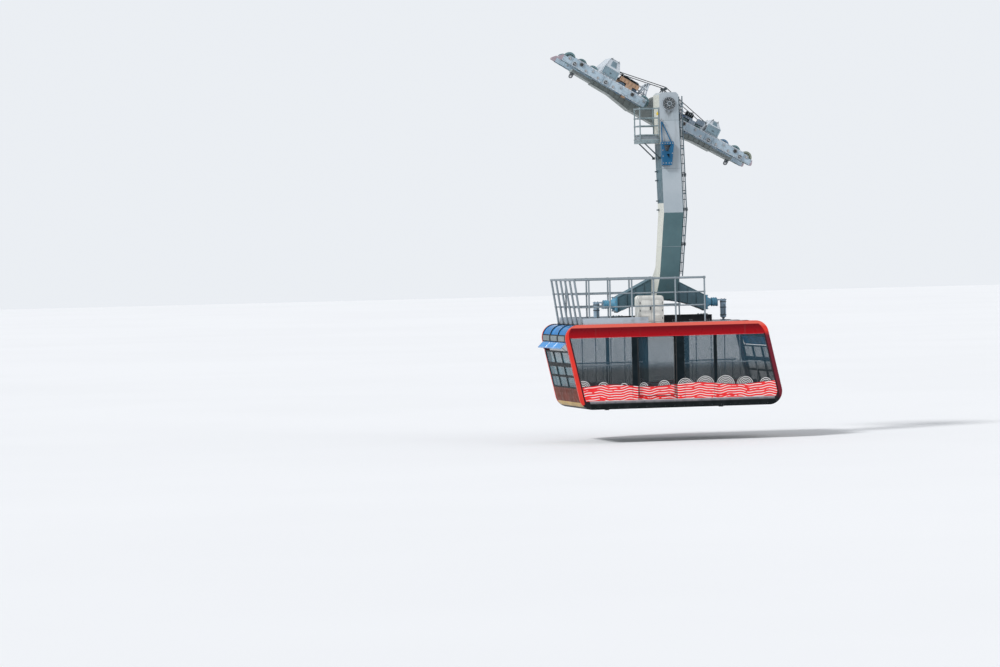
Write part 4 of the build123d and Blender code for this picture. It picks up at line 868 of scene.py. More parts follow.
def kit(name, material, body="cabin", basis=None):
    """The gathered small pieces of that name, made on first use."""
    if name not in KITS:
        KITS[name] = Parts(name, material, body)
    KITS[name].basis = basis or Matrix()
    return KITS[name]


def kits(body="cabin", basis=None, **finishes):
    return [kit(name, material, body, basis) for name, material in finishes.items()]


def frame_matrix(origin, first, second, third):
    rows = [(first[n], second[n], third[n], origin[n]) for n in range(3)]
    return Matrix((*rows, (0.0, 0.0, 0.0, 1.0)))


def slope(half):
    """Turns a run along the rope, Y and the level over the rope's line into the row frame."""
    outer, inner = middle(f"wheelset_{half}_1"), middle(f"wheelset_{half}_6")
    along = (outer - inner).normalized()
    up = Vector((-along.z, 0.0, along.x))
    up = up if up.z > 0 else -up
    origin = inner - along * AXLE_RUNS[-1] - up * AXLE_LEVEL
    return frame_matrix(origin, along, Vector(ALONG_Y), up)


def plate_point(side, run, level, lift=0.0):
    """A point on or over a truck's side plate."""
    return (run, side * (TRUCK_FACE + lift), level)


def dress_wheels():
    """Ribs, rim bolts and hub bolts on every wheel, a liner in its groove and a cap on each axle's end."""
    for half, (number, run) in product(HALVES, enumerate(AXLE_RUNS, 1)):
        tag, hub = f"{half}_{number}", Vector((run, 0, AXLE_LEVEL))
        body, basis = f"wheelset_{tag}", slope(half)
        ribs = kit(f"wheel_ribs_{tag}", finish_of(body), body, basis)
        steel = kit(f"wheel_bolts_{tag}", STEEL, body, basis)
        dark = kit(f"wheel_liners_{tag}", RUBBER, body, basis)
        for side in SIDES:
            out, wheel = Vector((0, side, 0)), hub + Vector((0, side * ROPE_ROW, 0))
            dark.annulus(wheel - Vector((0, 0.010, 0)), ALONG_Y, 0.181, 0.189, 0.020)
            for face in (Vector((0, -1, 0)), Vector((0, 1, 0))):
                steel.bolt_circle(wheel + face * 0.052, face, 0.053, 6, 0.016)
                steel.bolt_circle(wheel + face * 0.045, face, 0.178, 12, 0.014, 0.2)
                ribs.spokes(wheel + face * 0.026, 0.066, 0.152, 0.012)
            if number == 1:
                steel.stack(hub, out, (0.598, 0.606, 0.046, 20), (0.606, 0.630, 0.036, 6))
            elif number in (2, 5):
                base = 0.598 if number == 2 else 0.640
                dark.stack(hub, out, (base, 0.648, 0.027, 16), (0.646, 0.668, 0.062, 24),
                           (0.668, 0.676, 0.040, 24))
                steel.bolt_circle(hub + out * 0.668, out, 0.051, 6, 0.013)
            else:
                steel.stack(hub, out, (0.640, 0.662, 0.028, 6), (0.662, 0.668, 0.014, 10))


def dress_trucks():
    """Edge strips, bolt rows, axle keepers, tie nuts and pin caps on the long side plates and the bogies."""
    cheek = BOGIE_FACE - TRUCK_FACE
    for half, side in product(HALVES, SIDES):
        steel, pale, plain, dark = kits(
            "carriage", slope(half), truck_bolts=STEEL, truck_strips="plate_white",
            truck_covers="plate_lilac", truck_caps=DARK)
        off, out = partial(plate_point, side), (0, side, 0)
        for low, high, start, end in ((0.276, 0.314, 0.56, 3.25), (0.026, 0.052, 0.56, 1.92),
                                      (0.026, 0.052, 2.13, 3.15)):
            pale.box(off(start, low), off(end, high, 0.006))
            runs = spread(start + 0.04, end - 0.04, round((end - start) / 0.12))
            steel.bolts([off(run, (low + high) / 2, 0.006) for run in runs], out, 0.018)
        for run in (*AXLE_RUNS[2:4], AXLE_RUNS[5]):
            plain.annulus(off(run, AXLE_LEVEL), out, 0.033, 0.062, 0.010, 28)
            steel.bolt_circle(off(run, AXLE_LEVEL, 0.010), out, 0.050, 6, 0.012)
        for run in PIN_RUNS:
            pale.annulus(off(run, PIN_LEVEL, 0.014), out, 0.033, 0.086, 0.004, 40)
            dark.stack(off(run, PIN_LEVEL), out, (0.018, 0.030, 0.058, 28))
            steel.bolt_circle(off(run, PIN_LEVEL, 0.018), out, 0.072, 8, 0.016)
            steel.block(off(run, PIN_LEVEL, 0.030), (0.047, 0.004, 0.014))
            steel.bolts([off(run + a * 0.036, PIN_LEVEL, 0.034) for a in SIDES], out, 0.014)
        for run in TIE_RUNS:
            steel.stack(off(run, PIN_LEVEL), out, (0, 0.005, 0.044, 24), (0.005, 0.026, 0.034, 6),
                        (0.026, 0.036, 0.020, 12))
        for run in (0.80, 1.25):
            plain.box(off(run - 0.10, 0.075), off(run + 0.10, 0.165, 0.008))
            steel.bolts([off(run + a * 0.084, 0.12 + b * 0.030, 0.008) for a, b in CORNERS], out, 0.014)
        for run in (0.50, 1.88, 2.17):
            plain.box(off(run - 0.007, 0.056), off(run + 0.007, 0.272, 0.020))
        plain.box(off(3.36, 0.030, cheek), off(3.60, 0.060, cheek + 0.008))
        steel.bolts([off(run, 0.045, cheek + 0.008) for run in spread(3.38, 3.58, 4)], out, 0.016)
        steel.bolts([off(3.66, level, cheek) for level in (0.07, 0.17)], out, 0.020)
        plain.annulus(off(AXLE_RUNS[0], AXLE_LEVEL, cheek), out, 0.050, 0.070, 0.006, 28)
        steel.bolt_circle(off(AXLE_RUNS[0], AXLE_LEVEL, cheek + 0.006), out, 0.060, 8, 0.010)


def dress_housings():
    """Base flanges, seams, doors, louvres and lifting eyes on the two covers."""
    run = PIN_RUNS[0]
    for half, reach, top in (("upper", 0.280, 0.970), ("lower", 0.235, 0.830)):
        shell, steel, dark = kits("carriage", slope(half), housing_trim="housing_grey", housing_bolts=STEEL,
                                  housing_dark=DARK)
        low, high, rise = run - reach, run + reach, top - EAVES_LEVEL
        for side in SIDES:
            off, out, normal = partial(plate_point, side), (0, side, 0), Vector((0, side * rise, 0.28))

            def flank(along, up, lift=0.0):
                """A point on the sloping flank: along -1 to 1, up 0 to 1."""
                place = off(run + along * (reach - 0.11 * up), EAVES_LEVEL + rise * up, -0.28 * up)
                return Vector(place) + normal.normalized() * lift

            shell.box(off(low - 0.015, 0.321), off(high + 0.015, 0.333, 0.030))
            steel.bolts([off(x, 0.333, 0.018) for x in spread(low + 0.02, high - 0.02, 7)], UP, 0.018)
            for start, end in (((-1, 0), (1, 0)), ((-1, 0), (-1, 1)), ((1, 0), (1, 1)), ((-1, 1), (1, 1))):
                shell.tube([flank(*start), flank(*end)], 0.009, 8)
            for end in (low, high):
                shell.tube([off(end, 0.333), off(end, EAVES_LEVEL)], 0.009, 8)
            steel.bolts([off(x, 0.585) for x in spread(low + 0.03, high - 0.03, 7)], out, 0.014)
            shell.box(off(low + 0.07, 0.37), off(high - 0.07, 0.55, 0.010))
            spots = product(spread(low + 0.09, high - 0.09, 5), (0.385, 0.535))
            steel.bolts([off(*spot, 0.010) for spot in spots], out, 0.013)
            dark.box(off(run - 0.03, 0.445, 0.010), off(run + 0.03, 0.470, 0.030))
            for up in spread(0.22, 0.72, 6):
                louvre = ((-0.42, up), (0.42, up), (0.42, up + 0.06, 0.022), (-0.42, up + 0.06, 0.022))
                shell.plate([flank(*corner) for corner in louvre], (0, 0, -0.004))
            steel.bolts([flank(*spot) for spot in product((-0.85, 0.85), spread(0.1, 0.9, 4))], normal, 0.014)
            for along in (-0.7, 0.7):
                dark.ring(flank(along, 0.93, 0.034), ALONG_X, 0.026, 0.007, 18)
        shell.box((low + 0.12, -0.012, top), (high - 0.12, 0.012, top + 0.010))
        for (end, way), row in product(((low, -1), (high, 1)), (-0.30, 0.30)):
            face = end + way * 0.010
            shell.box((end, row - 0.20, 0.38), (face, row + 0.20, 0.56))
            steel.bolts(grid(face, spread(row - 0.18, row + 0.18, 3), (0.395, 0.545)), (way, 0, 0), 0.013)


def dress_brakes():
    """Ribs, bolts, cylinder bands, clevises and the steel pipes of the rope brakes."""
    for half, (blocks, (start, end, radius, level)) in BRAKES.items():
        copper, steel, dark, pale = kits(
            "carriage", slope(half), brake_ribs="brake_copper", brake_bolts=STEEL,
            brake_fittings=DARK, brake_links="plate_white")
        for side in SIDES:
            off, out, row = partial(plate_point, side), (0, side, 0), side * ROPE_ROW
            for low, high, top in blocks:
                for run in spread(low + 0.02, high - 0.02, 2 + round((high - low) / 0.16)):
                    copper.box(off(run - 0.006, 0.435), off(run + 0.006, top - 0.006, 0.016))
                runs = spread(low + 0.05, high - 0.05, max(3, round((high - low) / 0.09)))
                steel.bolts([off(run, rung) for rung in (0.448, top - 0.022) for run in runs], out, 0.014)
                copper.box((low - 0.006, row - 0.135, top - 0.004), (high + 0.006, row + 0.135, top + 0.004))
            spots = product((1.165, 1.25, 1.335), (0.36, 0.40))
            steel.bolts([off(*spot) for spot in spots], out, 0.018)
            for run in spread(start + 0.075, end - 0.075, 3):
                dark.annulus((run - 0.012, row, level), ALONG_X, radius, radius + 0.011, 0.024, 28)
                dark.block((run, row, level), (0.012, radius + 0.03, 0.010))
                steel.bolts([(run, row + a * (radius + 0.022), level + 0.010) for a in SIDES], UP, 0.014)
            for head, way in ((start, -1), (end, 1)):
                steel.bolt_circle((head, row, level), (way, 0, 0), radius * 0.6, 6, 0.014)
            steel.rod((start - 0.11, row, level), (start, row, level), 0.018, 14)
            pale.annulus((start - 0.16, row - 0.030, level), ALONG_Y, 0.022, 0.058, 0.060, 28)
            dark.pin((start - 0.16, row, level), (0, 0.044, 0), 0.021)
            run, crest, inner = end - 0.05, level + radius + 0.045, side * 0.27
            pipe = [(run, row, crest - 0.045), (run, row, crest), (run, inner, crest), (run, inner, 0.215),
                    (0.50, inner, 0.215), (0.50, side * 0.17, 0.215)]
            steel.tube(pipe, 0.009, 8)
            for point in pipe[1:-1]:
                steel.pin(point, (0.016, 0, 0), 0.015, 6)
            for run in (0.62, 0.92):
                dark.box((run - 0.02, side * 0.20, 0.198), (run + 0.02, side * 0.285, 0.206))


def dress_beam():
    """Flanges and ribs on the main beam, bolts at its head and on the pin's nut, and bushes in the lugs."""
    for half in HALVES:
        plain, steel, lug = kits("carriage", slope(half), beam_ribs="beam_grey", beam_bolts=STEEL,
                                 lug_bushes=STEEL)
        plain.box((0.44, -0.225, 0.175), (2.35, 0.225, 0.189))
        plain.box((1.625, -0.225, -0.124), (2.35, 0.225, -0.110))
        plain.plate([(0.775, -0.225, -0.24), (1.625, -0.225, -0.11), (1.625, 0.225, -0.11),
                     (0.775, 0.225, -0.24)], (0, 0, -0.014))
        for side in SIDES:
            out = (0, side, 0)
            for run in spread(0.66, 2.28, 9):
                low = -0.24 + max(0.0, min(1.0, (run - 0.775) / 0.85)) * 0.13
                plain.box((run - 0.006, side * 0.20, low), (run + 0.006, side * 0.222, 0.175))
            steel.bolts(grid(spread(2.42, 3.08, 8), side * 0.20, (-0.066, -0.014)), out, 0.022)
            steel.bolts(grid(spread(0.56, 2.30, 12), side * 0.207, 0.189), UP, 0.016)
            lug.annulus((3.05, side * 0.045, -0.215), out, 0.027, 0.046, 0.005, 28)
            lug.bolts(grid((3.01, 3.09), side * 0.045, -0.13), out, 0.018)
    steel = kit("beam_bolts", STEEL)
    nut = PIN + Vector((0, 0.2605, 0))
    for side in SIDES:
        steel.bolt_circle(PIN + Vector((0, side * 0.20, 0)), (0, side, 0), 0.262, 20, 0.026)
    steel.annulus(nut, ALONG_Y, 0.045, 0.090, 0.012, 36)
    steel.bolt_circle(nut, ALONG_Y, 0.107, 6, 0.018)
    steel.box(nut - Vector((0.02, 0, 0.045)), nut + Vector((0.02, 0.0195, 0.045)))


def dress_linkage():
    """The brake linkage over the beam's head: a mast, braced frames, levers and the lines to the covers."""
    dark, pale, steel, lines = kits("carriage", linkage_dark=DARK, linkage_pale="plate_white",
                                    linkage_bolts=STEEL, linkage_lines="black_enamel")
    for side in SIDES:
        head, out = (MAST_X, side * MAST_ROW, MAST_Z), (0, side, 0)
        for x, z in ((0.06, 0.74), (0.27, 0.60)):
            dark.tube([(x, side * MAST_ROW, z), head], 0.020)
        dark.block(head, (0.035, 0.016, 0.035))
        steel.bolt((MAST_X, side * (MAST_ROW + 0.016), MAST_Z), out, 0.030)
        dark.stack((MAST_X, 0, MAST_Z), out, (0.235, 0.270, 0.052, 24))
    dark.pin((MAST_X, 0, MAST_Z), (0, 0.30, 0), 0.022, 14)
    for half, stand, anchor, level in (("upper", 0.62, 1.745, 0.712), ("lower", 0.72, 1.790, 0.650)):
        basis, (eye, eye_level) = slope(half), CYLINDER_EYES[half]
        for group in (dark, pale, steel):
            group.basis = basis
        for side in SIDES:
            row, lever, wheel, line = side * 0.165, side * 0.40, side * ROPE_ROW, side * 0.25
            for foot in (stand - 0.20, stand + 0.20):
                pale.bar([(foot, row, 0.19), (stand, row, CROWN_LEVEL)], 0.024)
                pale.block((foot, row, 0.195), (0.05, 0.045, 0.006))
                steel.bolts([(foot + a * 0.036, row + b * 0.03, 0.201) for a, b in CORNERS], UP, 0.016)
            pale.bar([(stand - 0.10, row, 0.515), (stand + 0.10, row, 0.515)], 0.018)
            pale.block((stand, row, CROWN_LEVEL), (0.05, 0.03, 0.05))
            steel.bolt((stand, row + side * 0.03, CROWN_LEVEL), (0, side, 0), 0.040)
            for edge in (-0.028, 0.028):
                pale.bar([(stand + 0.02, lever + edge, CROWN_LEVEL), (stand - 0.02, lever + edge, 0.62),
                          (eye, wheel + edge * 0.6, eye_level)], 0.017)
            steel.pin((eye, wheel, eye_level), (0, 0.05, 0), 0.014, 12)
            lines.tube([(MAST_X, line, MAST_Z + 0.045), basis @ Vector((anchor, line, level))], 0.013, 8)
            dark.rod((anchor - 0.16, line, level + 0.022), (anchor, line, level), 0.024, 12)
            dark.box((anchor - 0.012, line - 0.04, level - 0.05), (anchor, line + 0.04, level + 0.05))
        dark.pin((stand, 0, CROWN_LEVEL), (0, 0.42, 0), 0.026, 18)
    pipes = kit("brake_blue_pipes", "hose_blue", "carriage", slope("lower"))
    for side in SIDES:
        bends = ((0.60, 0.335), (0.66, 0.46), (0.90, 0.46), (0.945, 0.44))
        pipes.tube([(run, side * 0.585, level) for run, level in bends], 0.020)


def front(z):
    """The hanger's front face: its Y at a height."""
    for (high, y_high), (low, y_low) in zip(COLUMN_FRONT, COLUMN_FRONT[1:]):
        if z >= low:
            return y_low + (y_high - y_low) * (z - low) / (high - low)
    return COLUMN_FRONT[-1][1]


def dress_column():
    """Seams, pegs, cable pipe, lattice guard and the bolts of the bearing cover."""
    steel, seam, dark = kits(column_bolts=STEEL, column_seams="column_paint", column_fittings="ladder_steel")
    half = COLUMN_HALF
    for z in (-0.09, -1.70, -4.30):
        seam.tube([(-half, front(z) + 0.62, z), (-half, front(z), z), (half, front(z), z),
                   (half, front(z) + 0.62, z)], 0.006, 6)
    for z in (-1.79, -2.09, -2.77, -3.07):
        dark.stack((-half, front(z) + 0.62, z), ALONG_X, (-0.085, 0, 0.022, 12), (-0.012, 0, 0.045, 18))
    dark.tube([(half + 0.026, front(z) + 0.66, z) for z in (0.55, -0.09, -3.17, -5.00)], 0.020)
    for z in spread(0.50, -5.0, 12):
        dark.box((half, front(z) + 0.62, z - 0.02), (half + 0.05, front(z) + 0.70, z + 0.02))
    guard = kit("ladder_guard", "ladder_steel")
    ends = ((half + 0.05, -1.63), (half + 0.05, -1.25))
    for end in ends:
        guard.bar([(*end, -0.68), (*end, 0.42)], 0.016)
    levels = spread(-0.66, 0.40, 5)
    for number, z in enumerate(levels):
        guard.bar([(*ends[0], z), (*ends[1], z)], 0.013)
        for x, y in ends:
            guard.box((half, y - 0.015, z - 0.010), (x, y + 0.015, z + 0.010))
        if number:
            first, second = ends if number % 2 else reversed(ends)
            guard.tube([(*first, levels[number - 1]), (*second, z)], 0.009, 8)
    out = Vector((0, -1, 0))
    cap = PIN + out * 1.8253
    steel.bolt_circle(PIN + out * 1.7953, out, 0.183, 16, 0.024, 0.1)
    steel.bolt_circle(cap, out, 0.122, 8, 0.026)
    rim, boss = kits(bearing_rim="plate_white", bearing_boss=DARK)
    rim.annulus(PIN + out * 1.765, out, 0.216, 0.236, 0.012, 60)
    rim.annulus(cap, out, 0.060, 0.078, 0.010, 40)
    boss.stack(cap, out, (0, 0.024, 0.048, 28))
    boss.spokes(cap + out * 0.006, 0.075, 0.148, 0.010, 0.5)


def dress_platform():
    """Floor grating, kick plates, rail joints and the yellow latch of the service platform."""
    low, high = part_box("service_platform")
    floor = PLATFORM_FLOOR
    grate, plain, steel, latch = kits(platform_grating="grating", platform_plates="galvanised",
                                      platform_bolts=STEEL, platform_latch="gate_yellow")
    grate.box((low.x + 0.03, low.y + 0.03, floor), (high.x - 0.01, high.y - 0.03, floor + 0.016))
    for x_low, x_high, y_low, y_high in ((low.x + 0.042, low.x + 0.048, low.y + 0.062, high.y - 0.062),
                                         (low.x + 0.045, high.x - 0.01, low.y + 0.062, low.y + 0.068),
                                         (low.x + 0.045, high.x - 0.01, high.y - 0.068, high.y - 0.062)):
        plain.box((x_low, y_low, floor), (x_high, y_high, floor + 0.12))
    posts = ((low.x + 0.021, 0.05, 0.06), (high.x - 0.021, 0.07, 0.015))
    for y, (x, left, right) in product((low.y + 0.04, high.y - 0.04), posts):
        for z in PLATFORM_RAILS:
            plain.pin((x, y, z), (0, 0, 0.032), 0.029, 14)
        plain.box((x - left, y - 0.04, floor), (x + right, y + 0.04, floor + 0.010))
    for y, out in ((low.y, -1), (high.y, 1)):
        steel.bolts(grid(spread(low.x + 0.06, high.x - 0.06, 6), y, floor - 0.065), (0, out, 0), 0.020)
    steel.bolts(grid(low.x, spread(low.y + 0.08, high.y - 0.08, 5), floor - 0.065), (-1, 0, 0), 0.020)
    latch.box((-0.418, low.y + 0.012, 0.08), (-0.382, low.y + 0.050, 0.18))
    latch.rod((-0.40, low.y + 0.031, 0.18), (-0.40, low.y + 0.031, 0.205), 0.009, 12)
    latch.box((-0.445, low.y + 0.022, 0.115), (-0.362, low.y + 0.040, 0.135))


def dress_bracket():
    """Bolts, studs and rims on the blue lifting bracket, and the shackle at its apex."""
    out, up = Vector((0.0, -0.9953, 0.0969)), Vector((0.0, 0.0969, 0.9953))
    basis = frame_matrix(Vector((0.0, -1.822, -0.83)) + out * 0.1503, Vector(ALONG_X), up, out)
    steel, rim = kits("cabin", basis, bracket_bolts=STEEL, bracket_rims="bracket_blue")

    def at(across, height, lift=0.0):
        return (-0.135 + across * 0.205, height * 0.77, lift)

    for across in (-0.86, -0.43, 0.0, 0.43, 0.84):
        steel.bolt(at(across, -0.06), UP, 0.026)
    steel.bolt(at(-0.86, -0.36), UP, 0.026)
    for spot in ((-0.86, -0.62), (-0.86, -0.92), (-0.4, -0.92), (0.1, -0.92), (0.45, -0.92), (0.72, -0.5)):
        steel.stack(at(*spot), UP, (0, 0.005, 0.017, 16))
    windows = (((-0.72, -0.12), (0.62, -0.12), (0.1, -0.42), (-0.4, -0.42)),
               ((-0.3, -0.52), (0.3, -0.52), (0.2, -0.74)))
    for window in windows:
        rim.tube([at(*corner, 0.004) for corner in window], 0.010, 6, True)
    outline = ((-1.0, 0.0), (1.0, 0.0), (1.0, -0.15), (0.55, -1.0), (-1.0, -1.0))
    rim.tube([at(*corner, -0.007) for corner in outline], 0.009, 6, True)
    steel.ring(at(-0.7, 0.95, -0.075), ALONG_X, 0.045, 0.011, 24)


def dress_ladder():
    """Splice sleeves on the stiles, the fall-arrest rail and the bolts of its clips."""
    dark, rail, steel = kits(ladder_sleeves=DARK, ladder_rail="stainless", ladder_bolts=STEEL)
    x = LADDER_PLANE
    for z, stile in product((-1.92, -3.07, -4.22), STILES):
        y = front(z) + stile
        dark.pin((x, y, z), (0, 0, 0.06), 0.034)
        dark.pin((x, y, z), (0, 0, 0.015), 0.050, 18)
        steel.bolts(grid(x + 0.033, y, (z - 0.04, z + 0.04)), ALONG_X, 0.016)
    rail.bar([(x, front(z) + 0.31, z) for z in (0.62, -0.09, -3.17, -5.22)], 0.016)
    for z in spread(0.5, -5.1, 20):
        rail.block((x, front(z) + 0.31, z), (0.022, 0.02, 0.012))
    for depth, stile in product((0.10, 1.50, 3.00, 4.40), STILES):
        z = PIN.z - depth
        spots = grid(COLUMN_HALF + 0.06, front(z) + stile - 0.016, (z - 0.014, z + 0.014))
        steel.bolts(spots, (0, -1, 0), 0.016)


def yoke_edge(x):
    """Top and bottom of the yoke at a distance from its middle."""
    top = -5.37 - max(0.0, abs(x) - 0.36) * 0.6 / 1.18
    return (top, -6.10 - YOKE_RADIUS + math.sqrt(YOKE_RADIUS ** 2 - x ** 2))


def dress_yoke():
    """Edge flanges, ribs, foot plates and pads of the yoke, its drums and the dampers."""
    plain, steel, blue, dark, carrier = kits(
        yoke_ribs="yoke_teal", yoke_bolts=STEEL, buffer_rings="buffer_blue", damper_bands=DARK,
        carrier_cleats="carrier_black")
    for side, end in CORNERS:
        y = side * 0.23
        plain.bar([(end * 0.40, y, -5.392), (end * 1.52, y, -5.962)], 0.020)
        plain.bar([(end * x, y, yoke_edge(x)[1] + 0.012) for x in spread(0.05, 1.38, 12)], 0.020)
        for x in (0.62, 0.92, 1.22):
            top, bottom = yoke_edge(x)
            plain.box((end * x - 0.006, y, bottom), (end * x + 0.006, y + side * 0.028, top - 0.015))
    for end in SIDES:
        out, x, drum = (end, 0, 0), end * 2.21, (end * 1.98, 0, -6.195)
        steel.bolts(grid(end * 1.6003, (-0.25, 0.25), spread(-6.42, -5.97, 4)), out, 0.030)
        steel.bolts(grid(end * 1.6003, (-0.12, 0.12), (-6.42, -5.97)), out, 0.030)
        for reach in (1.81, 1.885, 1.96):
            blue.ring((end * reach, 0, -6.195), ALONG_X, 0.142, 0.012, 36)
        steel.bolt_circle(drum, out, 0.112, 8, 0.018, math.pi / 8)
        plain.block((end * 1.48, 0, -6.608), (0.12, 0.27, 0.011))
        steel.bolts(grid((end * 1.385, end * 1.575), (-0.25, -0.13, 0.13, 0.25), -6.597), UP, 0.030)
        for z in (-6.215, -6.40, -6.66):
            dark.annulus((x, 0, z), UP, 0.100, 0.111, 0.03, 32)
        dark.rod((x, 0, -6.75), (x, 0, -6.72), 0.060, 24)
        steel.bolts(grid((x - 0.068, x + 0.068), (-0.068, 0.068), -6.80), UP, 0.022)
        steel.bolts(grid((x - 0.05, x + 0.05), (-0.04, 0.04), -6.105), UP, 0.022)
        dark.tube([(x, -0.10, -6.62), (x, -0.16, -6.62), (x, -0.16, -6.30), (x, -0.10, -6.30)], 0.012, 8)
    for side in SIDES:
        for x in spread(-1.5, 1.5, 6):
            pair = (x - 0.035, x + 0.035)
            carrier.box((x - 0.06, side * 0.61, -6.829), (x + 0.06, side * 0.68, -6.815))
            carrier.box((x - 0.06, side * 0.61, -6.829), (x + 0.06, side * 0.622, -6.74))
            steel.bolts(grid(pair, side * 0.652, -6.815), UP, 0.020)
            steel.bolts(grid(pair, side * 0.622, -6.77), (0, side, 0), 0.018)
        carrier.block((0, side * 0.52, -6.614), (1.64, 0.11, 0.006))


def dress_cabinet():
    """Doors, hinges, handles, louvres and a cable duct on the roof cabinet."""
    low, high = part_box("roof_cabinet")
    skin, dark, steel = kits(cabinet_doors="cabinet_cream", cabinet_fittings=DARK, cabinet_bolts=STEEL)
    centre = (low.x + high.x) / 2
    doors = ((low.x + 0.05, centre - 0.006, low.x + 0.05), (centre + 0.006, high.x - 0.05, high.x - 0.05))
    for side, face in ((-1, low.y), (1, high.y)):
        door = face + side * 0.014
        for start, end, hinge in doors:
            skin.box((start, face, low.z + 0.06), (end, door, high.z - 0.14))
            for z in spread(low.z + 0.16, high.z - 0.24, 3):
                dark.pin((hinge, face + side * 0.016, z), (0, 0, 0.035), 0.011, 12)
            for z in spread(low.z + 0.13, low.z + 0.26, 6):
                skin.plate([(start + 0.06, door, z), (end - 0.06, door, z),
                            (end - 0.06, face + side * 0.026, z - 0.012),
                            (start + 0.06, face + side * 0.026, z - 0.012)], (0, 0, 0.003))
            spots = grid((start + 0.025, end - 0.025), door, (low.z + 0.085, high.z - 0.165))
            steel.bolts(spots, (0, side, 0), 0.013)
        dark.box((centre - 0.055, door, -6.40), (centre - 0.020, face + side * 0.034, -6.26))
        dark.box((centre - 0.045, face + side * 0.034, -6.35), (centre - 0.030, face + side * 0.060, -6.28))
    steel.bolts(grid(high.x, spread(low.y + 0.06, high.y - 0.06, 4), low.z + 0.03), ALONG_X, 0.018)
    duct = high.x + 0.06
    bends = [(high.x, -1.10, -6.45), (duct, -1.10, -6.45), (duct, -1.10, -6.80), (duct, -0.72, -6.80)]
    dark.tube(bends, 0.020)
    dark.stack((high.x, -1.10, -6.45), ALONG_X, (0, 0.012, 0.034, 16))


def dress_roof():
    """Roof seams, the hatch in the deck's well, deck joints and screws, and the toe boards' brackets."""
    top, deck = ROOF_TOP, DECK_TOP
    seams, steel, dark, hatch = kits(roof_seams="roof_grey", roof_bolts=STEEL, deck_joints=RUBBER,
                                     roof_hatch="cabinet_cream")
    for x in (-0.70, 0.10, 0.85, 1.60, 2.30):
        for low, high in ((-1.66, -0.70), (-0.38, 0.38), (0.70, 1.66)) if x < 1.7 else ((-1.66, 1.66),):
            seams.box((x - 0.014, low, top), (x + 0.014, high, top + 0.010))
    for y in (-1.655, 1.655):
        steel.bolts(grid(spread(-0.55, 2.42, 20), y, top), UP, 0.014)
    hatch.box((-2.16, -0.36, top), (-1.72, 0.36, top + 0.045))
    hatch.box((-2.19, -0.39, top), (-1.69, 0.39, top + 0.022))
    for y in (-0.22, 0.22):
        dark.pin((-2.175, y, top + 0.040), (0, 0.05, 0), 0.012, 12)
    handle = ((-0.08, 0.045), (-0.08, 0.085), (0.08, 0.085), (0.08, 0.045))
    steel.tube([(-1.78, y, top + rise) for y, rise in handle], 0.009, 8)
    steel.bolts(grid((-2.176, -1.704), spread(-0.36, 0.36, 5), top + 0.022), UP, 0.012)
    for y in spread(-1.47, 1.47, 15):
        end = DECK_END if abs(y) > 0.66 else -2.36
        dark.box((-3.07, y - 0.004, deck), (end, y + 0.004, deck + 0.0015))
    for x, y in product(spread(-3.03, -1.21, 6), spread(-1.575, 1.575, 16)):
        if abs(y) > 0.68 or x < -2.40:
            steel.bolt((x, y, deck), UP, 0.010)
    edge, zinc = kits(well_edge="gate_yellow", toe_brackets="galvanised")
    for y in (-0.672, 0.672):
        edge.box((-2.36, y - 0.012, deck), (DECK_END, y + 0.012, deck + 0.004))
    edge.box((-2.372, -0.684, deck), (-2.348, 0.684, deck + 0.004))
    for side, x in product(SIDES, spread(-3.0, -0.95, 8)):
        base = deck if x < DECK_END else top
        zinc.box((x - 0.02, side * 1.60, base), (x + 0.02, side * 1.678, base + 0.006))
        zinc.box((x - 0.02, side * 1.672, base), (x + 0.02, side * 1.678, top + 0.17))
        steel.bolt((x, side * 1.672, top + 0.14), (0, -side, 0), 0.013)


def dress_railing():
    """Clamps where rails meet posts, and the posts' foot plates."""
    zinc, steel = kits(rail_clamps="galvanised", rail_bolts=STEEL)
    rail = ROOF_TOP + RAIL_HEIGHTS[-1]
    for side in SIDES:
        row = side * RAIL_ROW
        for x in SIDE_POSTS:
            base = DECK_TOP if x < DECK_END else ROOF_TOP
            zinc.box((x - 0.06, side * 1.596, base), (x + 0.06, side * 1.676, base + 0.010))
            steel.bolts(grid((x - 0.046, x + 0.046), side * 1.61, base + 0.010), UP, 0.018)
            zinc.pin((x, row, rail), (0.035, 0, 0), 0.043, 18)
            for z in (ROOF_TOP + height for height in RAIL_HEIGHTS[:2]):
                zinc.pin((x, side * 1.5917, z), (0.03, 0, 0), 0.030, 14)
                zinc.pin((x, row, z), (0, 0, 0.03), 0.034, 14)
                steel.bolt((x + 0.018, side * 1.562, z), (0, -side, 0), 0.013)
        zinc.pin((1.146, row, rail), (0.006, 0, 0), 0.044, 18)
    for y, height in product(spread(-RAIL_ROW, RAIL_ROW, 6), RAIL_HEIGHTS):
        x = -3.132 - 0.225 * height / RAIL_HEIGHTS[-1]
        zinc.pin((x, y, ROOF_TOP + height), (-0.006, 0, 0.03), 0.042)


